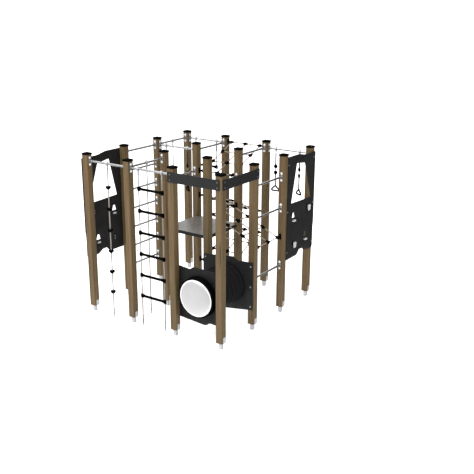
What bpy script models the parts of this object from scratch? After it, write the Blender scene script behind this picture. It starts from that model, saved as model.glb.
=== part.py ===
"""Climbing frame of sixteen timber posts on a square grid, with bars, ropes, nets, panels, a deck and a
crawl tunnel. Metres, +Z up. The origin is the middle of the footprint, on the ground; the open front faces -Y."""

import math

import bmesh
import bpy
from mathutils import Matrix, Vector

# Grid and posts
PITCH = 1.0
POST = 0.128
POST_ROUND = 0.007
POST_FOOT = 0.12
POST_TOP = 3.09
CAP = 0.145
CAP_LOW, CAP_EDGE, CAP_PEAK = 3.080, 3.110, 3.120
SHOE_TOP = 0.225
LEG = 0.062
FACE = POST / 2
GAP = 0.0003

# Bars
RAIL_Z = 2.97
RAIL_R = 0.021
RUNG_R = 0.019
FLANGE_W, FLANGE_H, FLANGE_T = 0.050, 0.182, 0.006
BAR_SIDES = 10
WALL_RUNG_PITCH = 0.39
HAND_BAR_Z = 2.555
SIDE_BAR_Z = (2.70, 2.11, 0.985)
COLLAR_R, COLLAR_L = 0.034, 0.045

# Ropes and what hangs on them
ROPE_R = 0.011
LADDER_HALF = 0.268
GRIP_R = 0.0210
BARREL_R, BARREL_HALF = 0.0230, 0.043
LADDER_STEPS = [0.590 + 0.404 * step for step in range(6)]
HEART_STEPS = [0.500 + 0.406 * step for step in range(6)]
ROPE_END = 0.002
HANG_HALF = 0.271
TRAPEZE_Z = 2.411
SWIVEL_Z = 2.750
BEAD_HALF, BEAD_THICK = 0.044, 0.034
HANDLE_TOP, HANDLE_LOW, HANDLE_HALF, HANDLE_R = 2.213, 2.110, 0.115, 0.0165
HANDLE_TURNS = (4.0, -30.0, 4.0, -35.0)

# Boards
BOARD = 0.015
PANEL = 0.018
BEAM_LOW, BEAM_HIGH = 2.845, 3.022
BOLT_R, BOLT_H = 0.013, 0.006
PANEL_MIDDLE = 0.565
PANEL_INNER, PANEL_OUTER = 0.520, 0.506
HOLD_PROUD, STEP_PROUD = 0.062, 0.045
STEP_HOLES = [(-0.290, 1.900), (0.178, 1.415)]
HOLDS = [(0.250, 1.930), (-0.275, 1.302)]
PANEL_BOLTS = [(across, height) for across in (0.445, -0.508) for height in (1.20, 2.00, 2.90)]
DECK_TOP, DECK_DEEP = 1.622, 0.068

# Tunnel
TUNNEL_Z = 0.842
TUBE_IN, TUBE_OUT, RIB_OUT = 0.335, 0.350, 0.378
RIBS = 6
TUNNEL_BACK = PITCH - FACE - GAP - BOARD
FRONT_BOARD = FACE + GAP
RING_FRONT = -0.046
WINDOW_R = 0.337
WINDOW_DEEP = 0.046

# Nets
NET_EDGE = 0.155
NET_ROWS = 4
NET_COLUMNS = 3
ARM = 0.052
ARM_W = 0.035
NET_ROPE_R = 0.009
BRACKET_W, BRACKET_H, BRACKET_T = 0.075, 0.115, 0.008

WINDOW_THICK = 0.005
FRONT_MOST = RING_FRONT - GAP - WINDOW_THICK - WINDOW_DEEP
BACK_MOST = 3 * PITCH + CAP / 2
MIDDLE = Vector((1.5 * PITCH, (FRONT_MOST + BACK_MOST) / 2, 0.0))

UP = Vector((0, 0, 1))
ALONG_X = Vector((1, 0, 0))
ALONG_Y = Vector((0, 1, 0))


def place(x, y, z):
    """A point of the post grid, whose corner post stands at x = 0, y = 0, as a world point."""
    return Vector((x, y, z)) - MIDDLE


def clear_scene():
    for obj in list(bpy.data.objects):
        bpy.data.objects.remove(obj, do_unlink=True)
    frame = bpy.data.collections.new("climbing_frame")
    cutters = bpy.data.collections.new("cutters")
    cutters.hide_render = True
    bpy.context.scene.collection.children.link(frame)
    bpy.context.scene.collection.children.link(cutters)
    return frame, cutters


FRAME, CUTTERS = clear_scene()


def material(name, colour, roughness, metallic=0.0):
    mat = bpy.data.materials.new(name)
    mat.use_nodes = True
    shader = mat.node_tree.nodes["Principled BSDF"]
    shader.inputs["Base Color"].default_value = (*colour, 1.0)
    shader.inputs["Roughness"].default_value = roughness
    shader.inputs["Metallic"].default_value = metallic
    mat.diffuse_color = (*colour, 1.0)
    return mat


WOOD = material("oiled_timber", (0.23, 0.15, 0.085), 0.6)
STEEL = material("galvanised_steel", (0.62, 0.63, 0.64), 0.38, 1.0)
SLATE = material("slate_board", (0.045, 0.045, 0.055), 0.5)
CHARCOAL = material("charcoal_board", (0.030, 0.031, 0.033), 0.5)
DECKING = material("deck_board", (0.30, 0.30, 0.32), 0.6)
ROPE = material("rope", (0.62, 0.57, 0.48), 0.85)
BLACK = material("black_plastic", (0.012, 0.012, 0.013), 0.4)
OPAL = material("opal_plastic", (0.80, 0.81, 0.82), 0.2)


# ---------------------------------------------------------------- shapes


def mesh_object(name, shape):
    bmesh.ops.recalc_face_normals(shape, faces=shape.faces)
    mesh = bpy.data.meshes.new(name)
    shape.to_mesh(mesh)
    shape.free()
    obj = bpy.data.objects.new(name, mesh)
    FRAME.objects.link(obj)
    return obj


def smooth(obj, angle=35.0):
    """Round stretches shaded smooth, and the edges between them sharp."""
    mesh = obj.data
    shape = bmesh.new()
    shape.from_mesh(mesh)
    for face in shape.faces:
        face.smooth = True
    for edge in shape.edges:
        edge.smooth = edge.calc_face_angle(math.pi) < math.radians(angle)
    shape.to_mesh(mesh)
    shape.free()


def box(size, middle, turn=None):
    shape = bmesh.new()
    bmesh.ops.create_cube(shape, size=1.0)
    bmesh.ops.scale(shape, vec=size, verts=shape.verts)
    if turn is not None:
        bmesh.ops.transform(shape, matrix=turn, verts=shape.verts)
    bmesh.ops.translate(shape, vec=middle, verts=shape.verts)
    return mesh_object("box", shape)


def rounded_box(size, middle, radius, segments=2, bevel_all=False):
    """A box with its upright edges, or all its edges, rounded."""
    shape = bmesh.new()
    bmesh.ops.create_cube(shape, size=1.0)
    bmesh.ops.scale(shape, vec=size, verts=shape.verts)
    edges = [e for e in shape.edges if bevel_all or abs((e.verts[0].co - e.verts[1].co).z) > 1e-6]
    bmesh.ops.bevel(shape, geom=edges, offset=radius, segments=segments, profile=0.5, affect="EDGES")
    bmesh.ops.translate(shape, vec=middle, verts=shape.verts)
    return mesh_object("rounded_box", shape)


def rod(start, end, radius, end_radius=None, sides=12):
    """A round bar, or a cone, from one point to another."""
    start, end = Vector(start), Vector(end)
    shape = bmesh.new()
    bmesh.ops.create_cone(
        shape,
        cap_ends=True,
        segments=sides,
        radius1=radius,
        radius2=radius if end_radius is None else end_radius,
        depth=(end - start).length,
    )
    turn = UP.rotation_difference((end - start).normalized()).to_matrix().to_4x4()
    bmesh.ops.transform(shape, matrix=Matrix.Translation((start + end) / 2) @ turn, verts=shape.verts)
    return mesh_object("rod", shape)


def turned(profile, middle, axis="Z", sides=24):
    """A closed profile of (radius, height) points turned about an upright axis, or about one along Y."""
    shape = bmesh.new()
    ring = [shape.verts.new((radius, 0, height)) for radius, height in profile]
    edges = [shape.edges.new((ring[i], ring[(i + 1) % len(ring)])) for i in range(len(ring))]
    bmesh.ops.spin(
        shape,
        geom=ring + edges,
        cent=(0, 0, 0),
        axis=(0, 0, 1),
        angle=math.tau,
        steps=sides,
        use_duplicate=False,
        use_merge=True,
    )
    bmesh.ops.remove_doubles(shape, verts=shape.verts, dist=1e-6)
    if axis == "Y":
        bmesh.ops.rotate(shape, matrix=Matrix.Rotation(-math.pi / 2, 3, "X"), verts=shape.verts)
    bmesh.ops.translate(shape, vec=middle, verts=shape.verts)
    return mesh_object("turned", shape)


def slab(outline, low, high, facing):
    """A board cut to an outline of (across, height) points. facing is X or Y, the way its thickness lies."""
    shape = bmesh.new()
    if facing == "X":
        near = [shape.verts.new((low, across, height)) for across, height in outline]
        push = Vector((high - low, 0, 0))
    else:
        near = [shape.verts.new((across, low, height)) for across, height in outline]
        push = Vector((0, high - low, 0))
    face = shape.faces.new(near)
    made = bmesh.ops.extrude_face_region(shape, geom=[face])
    moved = [item for item in made["geom"] if isinstance(item, bmesh.types.BMVert)]
    bmesh.ops.translate(shape, vec=push, verts=moved)
    return mesh_object("slab", shape)


def loop_tube(points, radius):
    """A closed tube along a ring of points, as a mesh."""
    curve = bpy.data.curves.new("loop", "CURVE")
    curve.dimensions = "3D"
    curve.bevel_depth = radius
    curve.bevel_resolution = 2
    spline = curve.splines.new("POLY")
    spline.points.add(len(points) - 1)
    for point, place_of in zip(spline.points, points):
        point.co = (*place_of, 1.0)
    spline.use_cyclic_u = True
    guide = bpy.data.objects.new("loop", curve)
    FRAME.objects.link(guide)
    graph = bpy.context.evaluated_depsgraph_get()
    mesh = bpy.data.meshes.new_from_object(guide.evaluated_get(graph))
    bpy.data.objects.remove(guide, do_unlink=True)
    shape = bmesh.new()
    shape.from_mesh(mesh)
    bmesh.ops.remove_doubles(shape, verts=shape.verts, dist=1e-6)
    bpy.data.meshes.remove(mesh)
    return mesh_object("loop", shape)


def combine(target, others, operation):
    """The target with the others added or taken away, as one plain mesh. The others are used up."""
    group = bpy.data.collections.new("operands")
    CUTTERS.children.link(group)
    for other in others:
        FRAME.objects.unlink(other)
        group.objects.link(other)
    boolean = target.modifiers.new("boolean", "BOOLEAN")
    boolean.operation = operation
    boolean.solver = "EXACT"
    boolean.operand_type = "COLLECTION"
    boolean.collection = group
    bpy.context.view_layer.update()
    graph = bpy.context.evaluated_depsgraph_get()
    mesh = bpy.data.meshes.new_from_object(target.evaluated_get(graph))
    target.modifiers.clear()
    target.data = mesh
    for other in others:
        bpy.data.objects.remove(other, do_unlink=True)
    bpy.data.collections.remove(group)
    return target


def node(name, pieces, mat, cutters=(), pivot=None):
    """One named sub-part: its pieces joined into one body, the cutters taken out, and its finish."""
    body = pieces[0]
    if len(pieces) > 1:
        body = combine(body, pieces[1:], "UNION")
    if cutters:
        body = combine(body, list(cutters), "DIFFERENCE")
    body.name = name
    body.data.name = name
    body.data.materials.clear()
    body.data.materials.append(mat)
    smooth(body)
    if pivot is not None:
        body.data.transform(Matrix.Translation(-pivot))
        body.location = pivot
    return body


def bolt_head(middle, out):
    """A flat round bolt head that stands out along a direction."""
    return rod(middle - out * 0.004, middle + out * BOLT_H, BOLT_R, BOLT_R * 0.8, sides=10)


# ---------------------------------------------------------------- posts


def post(name, column, row):
    x, y = column * PITCH, row * PITCH
    timber = rounded_box(
        (POST, POST, POST_TOP - POST_FOOT), place(x, y, (POST_TOP + POST_FOOT) / 2), POST_ROUND, 1
    )
    cap_rim = rounded_box(
        (CAP, CAP, CAP_EDGE - CAP_LOW), place(x, y, (CAP_EDGE + CAP_LOW) / 2), POST_ROUND, 1
    )
    peak = bmesh.new()
    bmesh.ops.create_cone(
        peak,
        cap_ends=True,
        segments=4,
        radius1=0.5 * (CAP - 0.022) * math.sqrt(2),
        radius2=0.040,
        depth=CAP_PEAK - CAP_EDGE + 0.004,
    )
    bmesh.ops.rotate(peak, matrix=Matrix.Rotation(math.pi / 4, 3, "Z"), verts=peak.verts)
    bmesh.ops.translate(peak, vec=place(x, y, (CAP_PEAK + CAP_EDGE - 0.004) / 2), verts=peak.verts)
    cap_top = mesh_object("cap_top", peak)
    leg = box((LEG, LEG, POST_FOOT + 0.01), place(x, y, (POST_FOOT + 0.01) / 2))
    sole = box((POST + 0.001, 0.096, 0.012), place(x, y, POST_FOOT - 0.002))
    sides = []
    for way in (-1, 1):
        middle = place(x + way * (FACE - 0.0025), y + 0.018, (SHOE_TOP + POST_FOOT) / 2 - 0.003)
        sides.append(box((0.006, 0.076, SHOE_TOP - POST_FOOT + 0.006), middle))
    return node(name, [timber, cap_rim, cap_top, leg, sole] + sides, WOOD)


def posts():
    for column, letter in enumerate("abcd"):
        for row in range(4):
            post(f"post_{letter}{row + 1}", column, row)


# ---------------------------------------------------------------- bars


def flange(middle, out):
    """The long oval plate at a bar's end, bolted to a post face."""
    straight = (FLANGE_H - FLANGE_W) / 2
    outline = []
    for end in (1, -1):
        for step in range(4):
            angle = math.radians(60 * step) + (0 if end > 0 else math.pi)
            across, height = FLANGE_W / 2 * math.cos(angle), FLANGE_W / 2 * math.sin(angle)
            outline.append((across, height + end * straight))
    inner = middle + out * FLANGE_T
    if abs(out.x) > 0.5:
        placed = [(middle.y + across, middle.z + height) for across, height in outline]
        return slab(placed, middle.x, inner.x, "X")
    placed = [(middle.x + across, middle.z + height) for across, height in outline]
    return slab(placed, middle.y, inner.y, "Y")


def bar_pieces(start, end, radius):
    """A tube between two post faces, with a flange on each."""
    way = (end - start).normalized()
    first = start + way * (FACE + GAP)
    last = end - way * (FACE + GAP)
    tube = rod(first + way * 0.002, last - way * 0.002, radius, sides=BAR_SIDES)
    return [tube, flange(first, way), flange(last, -way)]


def post_to_post(first, second, height):
    return place(first[0], first[1], height), place(second[0], second[1], height)


def bar(name, first, second, height, radius=RAIL_R, collars=()):
    """A bar from post to post. collars are the distances from the first post of what hangs on it."""
    start, end = post_to_post(first, second, height)
    way = (end - start).normalized()
    pieces = bar_pieces(start, end, radius)
    for distance in collars:
        middle = start + way * distance
        pieces.append(rod(middle - way * COLLAR_L / 2, middle + way * COLLAR_L / 2, COLLAR_R, sides=10))
    return node(name, pieces, STEEL)


def plain_bars():
    bar("top_bar_a2_a3", (0, 1), (0, 2), RAIL_Z)
    bar("top_bar_b3_b4", (1, 2), (1, 3), RAIL_Z)
    bar("top_bar_c3_c4", (2, 2), (2, 3), RAIL_Z)
    bar("hand_bar_b2_b3", (1, 1), (1, 2), HAND_BAR_Z, RUNG_R)
    bar("hand_bar_c2_c3", (2, 1), (2, 2), HAND_BAR_Z, RUNG_R)
    for step in range(6):
        bar(f"wall_rung_{step + 1}", (0, 1), (0, 2), RAIL_Z - WALL_RUNG_PITCH * (6 - step), RUNG_R)
    for step, height in enumerate(SIDE_BAR_Z):
        bar(f"side_bar_{step + 1}", (3, 1), (3, 2), height, RUNG_R)


def hanging_bars():
    near, far = 0.5 - HANG_HALF, 0.5 + HANG_HALF
    bar("grip_bar_c4_d4", (2, 3), (3, 3), RAIL_Z, collars=(near, far))
    bar("grip_bar_a3_b3", (0, 2), (1, 2), RAIL_Z, collars=(near, far))
    bar("trapeze_bar_a4_b4", (0, 3), (1, 3), RAIL_Z, collars=(near, far))


# ---------------------------------------------------------------- ropes on their bars


def rope_bar(name, first, second, rope_pieces, collars):
    start, end = post_to_post(first, second, RAIL_Z)
    way = (end - start).normalized()
    pieces = bar_pieces(start, end, RAIL_R)
    for distance in collars:
        middle = start + way * distance
        pieces.append(rod(middle - way * COLLAR_L / 2, middle + way * COLLAR_L / 2, COLLAR_R, sides=10))
    return node(name, pieces + rope_pieces, STEEL)


def rope(x, y, low=ROPE_END, high=RAIL_Z):
    return rod(place(x, y, low), place(x, y, high), ROPE_R, sides=6)


def heart_step(x, y, height):
    """A round foot step: a deep rim over a cone."""
    profile = [
        (0.0, height - 0.040),
        (0.016, height - 0.040),
        (0.046, height - 0.012),
        (0.050, height + 0.002),
        (0.050, height + 0.016),
        (0.040, height + 0.022),
        (0.0, height + 0.022),
    ]
    return turned(profile, place(x, y, 0), sides=10)


def flared_bar(left, right, y, height):
    """A round bar that clasps a rope at each end with an upright barrel."""
    pieces = [rod(place(left, y, height), place(right, y, height), GRIP_R, sides=8)]
    for x in (left, right):
        low, high = place(x, y, height - BARREL_HALF), place(x, y, height + BARREL_HALF)
        pieces.append(rod(low, high, BARREL_R, sides=8))
    return pieces


def rope_bars():
    middle = 0.5 * PITCH
    rope_bar("climbing_rope_bar_b1_b2", (1, 0), (1, 1), [rope(1, middle)], (middle,))
    rope_bar("climbing_rope_bar_a3_a4", (0, 2), (0, 3), [rope(0, 2 + middle)], (middle,))
    steps = [heart_step(middle, 0, height) for height in HEART_STEPS]
    rope_bar("step_rope_bar_a1_b1", (0, 0), (1, 0), [rope(middle, 0)] + steps, (middle,))
    left, right = PITCH + middle - LADDER_HALF, PITCH + middle + LADDER_HALF
    ladder = [rope(left, 0), rope(right, 0)]
    for height in LADDER_STEPS:
        ladder += flared_bar(left, right, 0, height)
    rope_bar("rope_ladder_bar_b1_c1", (1, 0), (2, 0), ladder, (middle - LADDER_HALF, middle + LADDER_HALF))


# ---------------------------------------------------------------- what swings


def yoke(x, y, low):
    """The eye under a collar, which swings on the bar, and the sleeve below it."""
    top = RAIL_Z - COLLAR_R - 0.0015
    return [
        rod(place(x, y, top), place(x, y, 2.855), 0.014, 0.010, sides=8),
        rod(place(x, y, 2.872), place(x, y, low), 0.0125, sides=8),
    ]


def bead(x, y, height, way, aim):
    """A flat drop threaded on the rope, pointing up where way is 1 and down where it is -1."""
    outline = [(0.010, 0.046), (BEAD_HALF, -0.006), (0.030, -0.030), (0.010, -0.038)]
    outline = outline + [(-across, level) for across, level in outline[::-1]]
    if way < 0:
        outline = [(across, -level) for across, level in outline[::-1]]
    piece = slab(outline, -BEAD_THICK / 2, BEAD_THICK / 2, "Y")
    piece.data.transform(Matrix.Translation(place(x, y, height)) @ aim)
    return piece


def grip(number, x, y, turn):
    """A hanging grip: a yoke that swings on its bar, and on its swivel the rope, the beads and the handle."""
    pivot = place(x, y, RAIL_Z)
    node(f"grip_hanger_{number}", yoke(x, y, SWIVEL_Z + 0.0005), STEEL, pivot=pivot)

    swivel = place(x, y, SWIVEL_Z)
    aim = Matrix.Rotation(math.radians(turn), 4, "Z")
    handle = [rod(place(x, y, 2.69), place(x, y, SWIVEL_Z), 0.0125, sides=8)]
    handle.append(rod(place(x, y, HANDLE_TOP), place(x, y, 2.70), ROPE_R, sides=8))
    handle.append(bead(x, y, 2.612, 1, aim))
    handle.append(bead(x, y, 2.480, -1, aim))
    handle.append(rod(place(x, y, HANDLE_TOP - 0.004), place(x, y, HANDLE_TOP + 0.11), 0.0135, sides=8))
    ring = [swivel + aim @ (point - swivel) for point in handle_outline(x, y)]
    handle.append(loop_tube(ring, HANDLE_R))
    node(f"grip_handle_{number}", handle, BLACK, pivot=swivel)


def handle_outline(x, y):
    """The handle's three-sided ring with rounded corners, across X."""
    corners = [(0.0, HANDLE_TOP, 0.018), (HANDLE_HALF, HANDLE_LOW, 0.020), (-HANDLE_HALF, HANDLE_LOW, 0.020)]
    points = []
    for i, (across, height, radius) in enumerate(corners):
        here = Vector((across, height))
        before = (Vector(corners[i - 1][:2]) - here).normalized()
        after = (Vector(corners[(i + 1) % 3][:2]) - here).normalized()
        half = before.angle(after) / 2
        centre = here + (before + after).normalized() * radius / math.sin(half)
        start = here + before * radius / math.tan(half) - centre
        end = here + after * radius / math.tan(half) - centre
        # angle_signed counts clockwise turns as positive.
        sweep = -start.angle_signed(end)
        for step in range(4):
            angle = sweep * step / 3
            turned_arm = Matrix.Rotation(angle, 2) @ start
            points.append(centre + turned_arm)
    return [place(x + across, y, height) for across, height in points]


def trapeze():
    left, right = 0.5 * PITCH - HANG_HALF, 0.5 * PITCH + HANG_HALF
    y = 3 * PITCH
    pieces = flared_bar(left, right, y, TRAPEZE_Z)
    for x in (left, right):
        pieces += yoke(x, y, SWIVEL_Z)
        pieces.append(rope(x, y, TRAPEZE_Z, 2.80))
    node("trapeze", pieces, BLACK, pivot=place(0.5 * PITCH, y, RAIL_Z))


def swinging_parts():
    near, far = 0.5 - HANG_HALF, 0.5 + HANG_HALF
    spots = [(2 + near, 3), (2 + far, 3), (near, 2), (far, 2)]
    for number, ((x, y), turn) in enumerate(zip(spots, HANDLE_TURNS), start=1):
        grip(number, x, y, turn)
    trapeze()


# ---------------------------------------------------------------- boards


def beams():
    """Two boards round the front right corner, on the outside of the posts."""
    out = Vector((0, -1, 0))
    low = -FACE - GAP - BOARD
    outline = [(1.945, BEAM_LOW), (3.028, BEAM_LOW), (3.028, BEAM_HIGH), (1.945, BEAM_HIGH)]
    front = slab([(x - MIDDLE.x, z) for x, z in outline], low - MIDDLE.y, -FACE - GAP - MIDDLE.y, "Y")
    heads = [bolt_head(place(x, low, z), out) for x in (2.0, 2.985) for z in (2.887, 2.980)]
    node("beam_front", [front] + heads, SLATE)
    out = Vector((1, 0, 0))
    face = 3 + FACE + GAP
    outline = [(-0.035, BEAM_LOW), (1.057, BEAM_LOW), (1.057, BEAM_HIGH), (-0.035, BEAM_HIGH)]
    side = slab([(y - MIDDLE.y, z) for y, z in outline], face - MIDDLE.x, face + BOARD - MIDDLE.x, "X")
    heads = [bolt_head(place(face + BOARD, y, z), out) for y in (0.012, 1.0) for z in (2.887, 2.980)]
    node("beam_side", [side] + heads, SLATE)


def arc(centre, radius, start, end, steps=5):
    """Points on an arc, angles in degrees."""
    points = []
    for step in range(steps + 1):
        angle = math.radians(start + (end - start) * step / steps)
        points.append((centre[0] + radius * math.cos(angle), centre[1] + radius * math.sin(angle)))
    return points


def ease(start, end, steps=6):
    """A smooth step between two points of an outline."""
    points = []
    for step in range(steps + 1):
        t = step / steps
        lift = t * t * (3 - 2 * t)
        points.append((start[0] + (end[0] - start[0]) * t, start[1] + (end[1] - start[1]) * lift))
    return points


def climbing_outline():
    """The climbing board's edge, (across from its middle, height), its outer side at +."""
    inner, outer = -PANEL_INNER, PANEL_OUTER
    outline = [(inner, 1.055)]
    outline += ease((-0.14, 1.060), (-0.02, 1.148))
    outline += ease((0.05, 1.148), (0.20, 1.082))
    outline += arc((outer - 0.085, 1.122), 0.070, -90, 0, 4)
    outline += [(outer - 0.015, 1.49), (outer, 1.60), (outer, 3.005)]
    outline += ease((0.14, 3.005), (-0.16, 3.050), 5)
    outline += [(inner, 3.050)]
    return outline


def rounded_polygon(corners, radius, steps=4):
    """An outline whose corners are rounded off by arcs."""
    points = []
    for i, corner in enumerate(corners):
        here = Vector(corner)
        before = (Vector(corners[i - 1]) - here).normalized()
        after = (Vector(corners[(i + 1) % len(corners)]) - here).normalized()
        half = before.angle(after) / 2
        reach = radius / math.tan(half)
        first, last = here + before * reach, here + after * reach
        for step in range(steps + 1):
            t = step / steps
            mixed = first * (1 - t) ** 2 + here * 2 * t * (1 - t) + last * t**2
            points.append((mixed.x, mixed.y))
    return points


def climbing_panel(name, side):
    """side is 1 for the board on the right, -1 for the one on the left, which is turned half round."""
    middle_y = 2 * PITCH + PANEL_MIDDLE if side > 0 else PITCH - PANEL_MIDDLE
    face = 3 * PITCH + FACE + GAP if side > 0 else -FACE - GAP
    low, high = (face, face + PANEL) if side > 0 else (face - PANEL, face)

    def outline(points):
        placed = [(middle_y + side * across - MIDDLE.y, height) for across, height in points]
        return placed if side > 0 else placed[::-1]

    def spot(across, height, proud):
        outer = high if side > 0 else low
        return place(outer + side * proud, middle_y + side * across, height)

    board = slab(outline(climbing_outline()), low - MIDDLE.x, high - MIDDLE.x, "X")
    window = [(-0.392, 2.145), (0.382, 2.120), (0.112, 2.845), (-0.207, 2.890)]
    through_low, through_high = low - 0.1 - MIDDLE.x, high + 0.1 - MIDDLE.x
    cuts = [slab(outline(rounded_polygon(window, 0.012, 2)), through_low, through_high, "X")]
    for across, height in STEP_HOLES:
        hole = [(-0.060, -0.052), (0.060, -0.052), (0.028, 0.052), (-0.028, 0.052)]
        hole = [(across + step, height + lift) for step, lift in hole]
        cuts.append(slab(outline(rounded_polygon(hole, 0.010, 2)), through_low, through_high, "X"))
    body = combine(board, cuts, "DIFFERENCE")
    extras = []
    for across, height in STEP_HOLES:
        lip = box((PANEL + STEP_PROUD + 0.030, 0.105, 0.042), spot(across, height - 0.105, 0.010 - PANEL / 2))
        extras.append(lip)
    for across, height in HOLDS:
        extras.append(hold(spot(across, height, 0), side))
    out = Vector((side, 0, 0))
    for across, height in PANEL_BOLTS:
        extras.append(bolt_head(spot(across, height, 0), out))
    node(name, [body] + extras, CHARCOAL)


def hold(middle, side):
    """A wedge to climb on: wide and proud at its top, narrow at its foot."""
    shape = bmesh.new()
    bmesh.ops.create_cone(
        shape, cap_ends=True, segments=4, radius1=0.066, radius2=0.044, depth=HOLD_PROUD + 0.004
    )
    bmesh.ops.rotate(shape, matrix=Matrix.Rotation(math.pi / 4, 3, "Z"), verts=shape.verts)
    bmesh.ops.rotate(shape, matrix=Matrix.Rotation(side * math.pi / 2, 3, "Y"), verts=shape.verts)
    for vert in shape.verts:
        vert.co.y *= 1.15 if vert.co.z > 0 else 0.55
        vert.co.z = vert.co.z * 1.25 + (0.012 if side * vert.co.x > 0 else 0.0)
    bmesh.ops.translate(shape, vec=middle + Vector((side * (HOLD_PROUD / 2 - 0.002), 0, 0)), verts=shape.verts)
    return mesh_object("hold", shape)


def deck():
    """The platform, its corners cut out round the four posts."""
    low, high = PITCH, 2 * PITCH
    board = rounded_box(
        (high - low, high - low, DECK_DEEP),
        place(1.5 * PITCH, 1.5 * PITCH, DECK_TOP - DECK_DEEP / 2),
        0.004,
        1,
    )
    cuts = []
    for column in (1, 2):
        for row in (1, 2):
            middle = place(column * PITCH, row * PITCH, DECK_TOP)
            cuts.append(box((POST + 0.004, POST + 0.004, 0.4), middle))
    node("deck", [board], DECKING, cutters=cuts)


# ---------------------------------------------------------------- tunnel


def tunnel_outline(side, far_low, far_high):
    """A tunnel board's edge, (across from its middle, height). side -1 mirrors it for the back board. Its
    far end, away from the notches, is at the heights far_low and far_high."""
    half = 0.550
    near_low, near_high = (0.375, 1.345) if side > 0 else (far_low, 1.325)
    outline = [(-half, near_low), (0.060, 0.325)]
    outline += ease((0.120, 0.327), (0.230, 0.382), 4)
    outline += [(half, 0.368), (half, far_high)]
    outline += ease((-0.110, 1.364), (-0.230, 1.308), 4)
    outline += [(-half, near_high)]
    placed = [(side * across + 2.5 * PITCH - MIDDLE.x, height) for across, height in outline]
    return placed if side > 0 else placed[::-1]


def bore(low, high, radius, sides=24):
    middle = 2.5 * PITCH
    return rod(place(middle, low, TUNNEL_Z), place(middle, high, TUNNEL_Z), radius, sides=sides)


def tunnel_boards():
    low = FRONT_BOARD
    front = slab(tunnel_outline(1, 0.375, 1.340), low - MIDDLE.y, low + BOARD - MIDDLE.y, "Y")
    node("tunnel_front_board", [front], CHARCOAL, cutters=[bore(low - 0.1, low + 0.1, TUBE_IN)])
    low = TUNNEL_BACK
    high = PITCH - FACE - GAP
    back = slab(tunnel_outline(-1, 0.412, 1.290), low - MIDDLE.y, high - MIDDLE.y, "Y")
    out = Vector((0, -1, 0))
    heads = [bolt_head(place(x, low, z), out) for x in (2.0, 3.0) for z in (0.47, 0.85, 1.24)]
    node("tunnel_back_board", [back] + heads, CHARCOAL, cutters=[bore(low - 0.1, low + 0.1, TUBE_IN)])


def tunnel_tube():
    """A corrugated pipe between the two boards."""
    start, end = FRONT_BOARD + BOARD + GAP, TUNNEL_BACK - GAP
    profile = [(TUBE_IN, start), (TUBE_OUT, start)]
    pitch = (end - start) / RIBS
    for rib in range(RIBS):
        foot = start + (rib + 0.40) * pitch
        profile += [(TUBE_OUT, foot), (RIB_OUT, foot + 0.12 * pitch), (RIB_OUT, foot + 0.45 * pitch)]
        if rib < RIBS - 1:
            profile.append((TUBE_OUT, foot + 0.57 * pitch))
    profile += [(TUBE_OUT, end), (TUBE_IN, end)]
    profile = [(radius, height - MIDDLE.y) for radius, height in profile]
    middle = Vector((2.5 * PITCH - MIDDLE.x, 0, TUNNEL_Z))
    node("tunnel_tube", [turned(profile, middle, "Y", 24)], BLACK)


def tunnel_window():
    """The ring that stands out of the front board, and the bulging window in it."""
    middle = Vector((2.5 * PITCH - MIDDLE.x, 0, TUNNEL_Z))
    front, back = RING_FRONT, FRONT_BOARD - GAP
    profile = [(0.330, front), (0.362, front), (0.366, front + 0.006), (0.372, back), (0.330, back)]
    profile = [(radius, height - MIDDLE.y) for radius, height in profile]
    node("window_ring", [turned(profile, middle, "Y", 32)], BLACK)
    flat = RING_FRONT - GAP
    thick = WINDOW_THICK
    outer, inner = [], []
    rim = WINDOW_R - 0.020
    for step in range(5):
        t = step / 4
        radius = rim * math.cos(t * math.pi / 2)
        bulge = WINDOW_DEEP * math.sin(t * math.pi / 2)
        outer.append((max(radius, 0.0), flat - thick - bulge))
        inner.append((max(radius - thick * (1 - t), 0.0), flat - bulge))
    profile = [(WINDOW_R, flat), (WINDOW_R, flat - thick)] + outer + inner[::-1]
    profile = [(radius, height - MIDDLE.y) for radius, height in profile]
    node("window_dome", [turned(profile, middle, "Y", 32)], OPAL)


# ---------------------------------------------------------------- nets


def net(name, corner, across, down, high, low):
    """A sloping net between four posts. corner is the post where its high edge starts, across the way to
    the next post along that edge, and down the way to its low edge. Its rows end in brackets on the posts."""
    corner = Vector((*corner, 0))
    spacing = (PITCH - 2 * NET_EDGE) / (NET_COLUMNS - 1)

    def knot(column, row):
        t = row / (NET_ROWS - 1)
        level = high + (low - high) * t
        flat = corner + across * (NET_EDGE + spacing * column) + down * t
        return place(flat.x, flat.y, level)

    pieces = []
    slope = (knot(0, 1) - knot(0, 0)).normalized()
    for column in range(NET_COLUMNS):
        start, end = knot(column, 0) - slope * ARM * 0.3, knot(column, NET_ROWS - 1) + slope * ARM * 0.3
        pieces.append(rod(start, end, NET_ROPE_R, sides=4))
    for row in range(NET_ROWS):
        first, last = knot(0, row), knot(NET_COLUMNS - 1, row)
        if row in (0, NET_ROWS - 1):
            first -= across * (NET_EDGE - FACE - 0.004)
            last += across * (NET_EDGE - FACE - 0.004)
            for end, way in ((first, across), (last, -across)):
                size = Vector((BRACKET_W, BRACKET_W, BRACKET_H))
                size[0 if abs(way.x) > 0.5 else 1] = BRACKET_T
                pieces.append(box(size, end + way * (BRACKET_T / 2 - 0.004 + GAP)))
        pieces.append(rod(first, last, NET_ROPE_R, sides=4))
    for column in range(NET_COLUMNS):
        for row in range(NET_ROWS):
            pieces.append(connector(knot(column, row), across, slope, column, row))
    node(name, pieces, ROPE)


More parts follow.
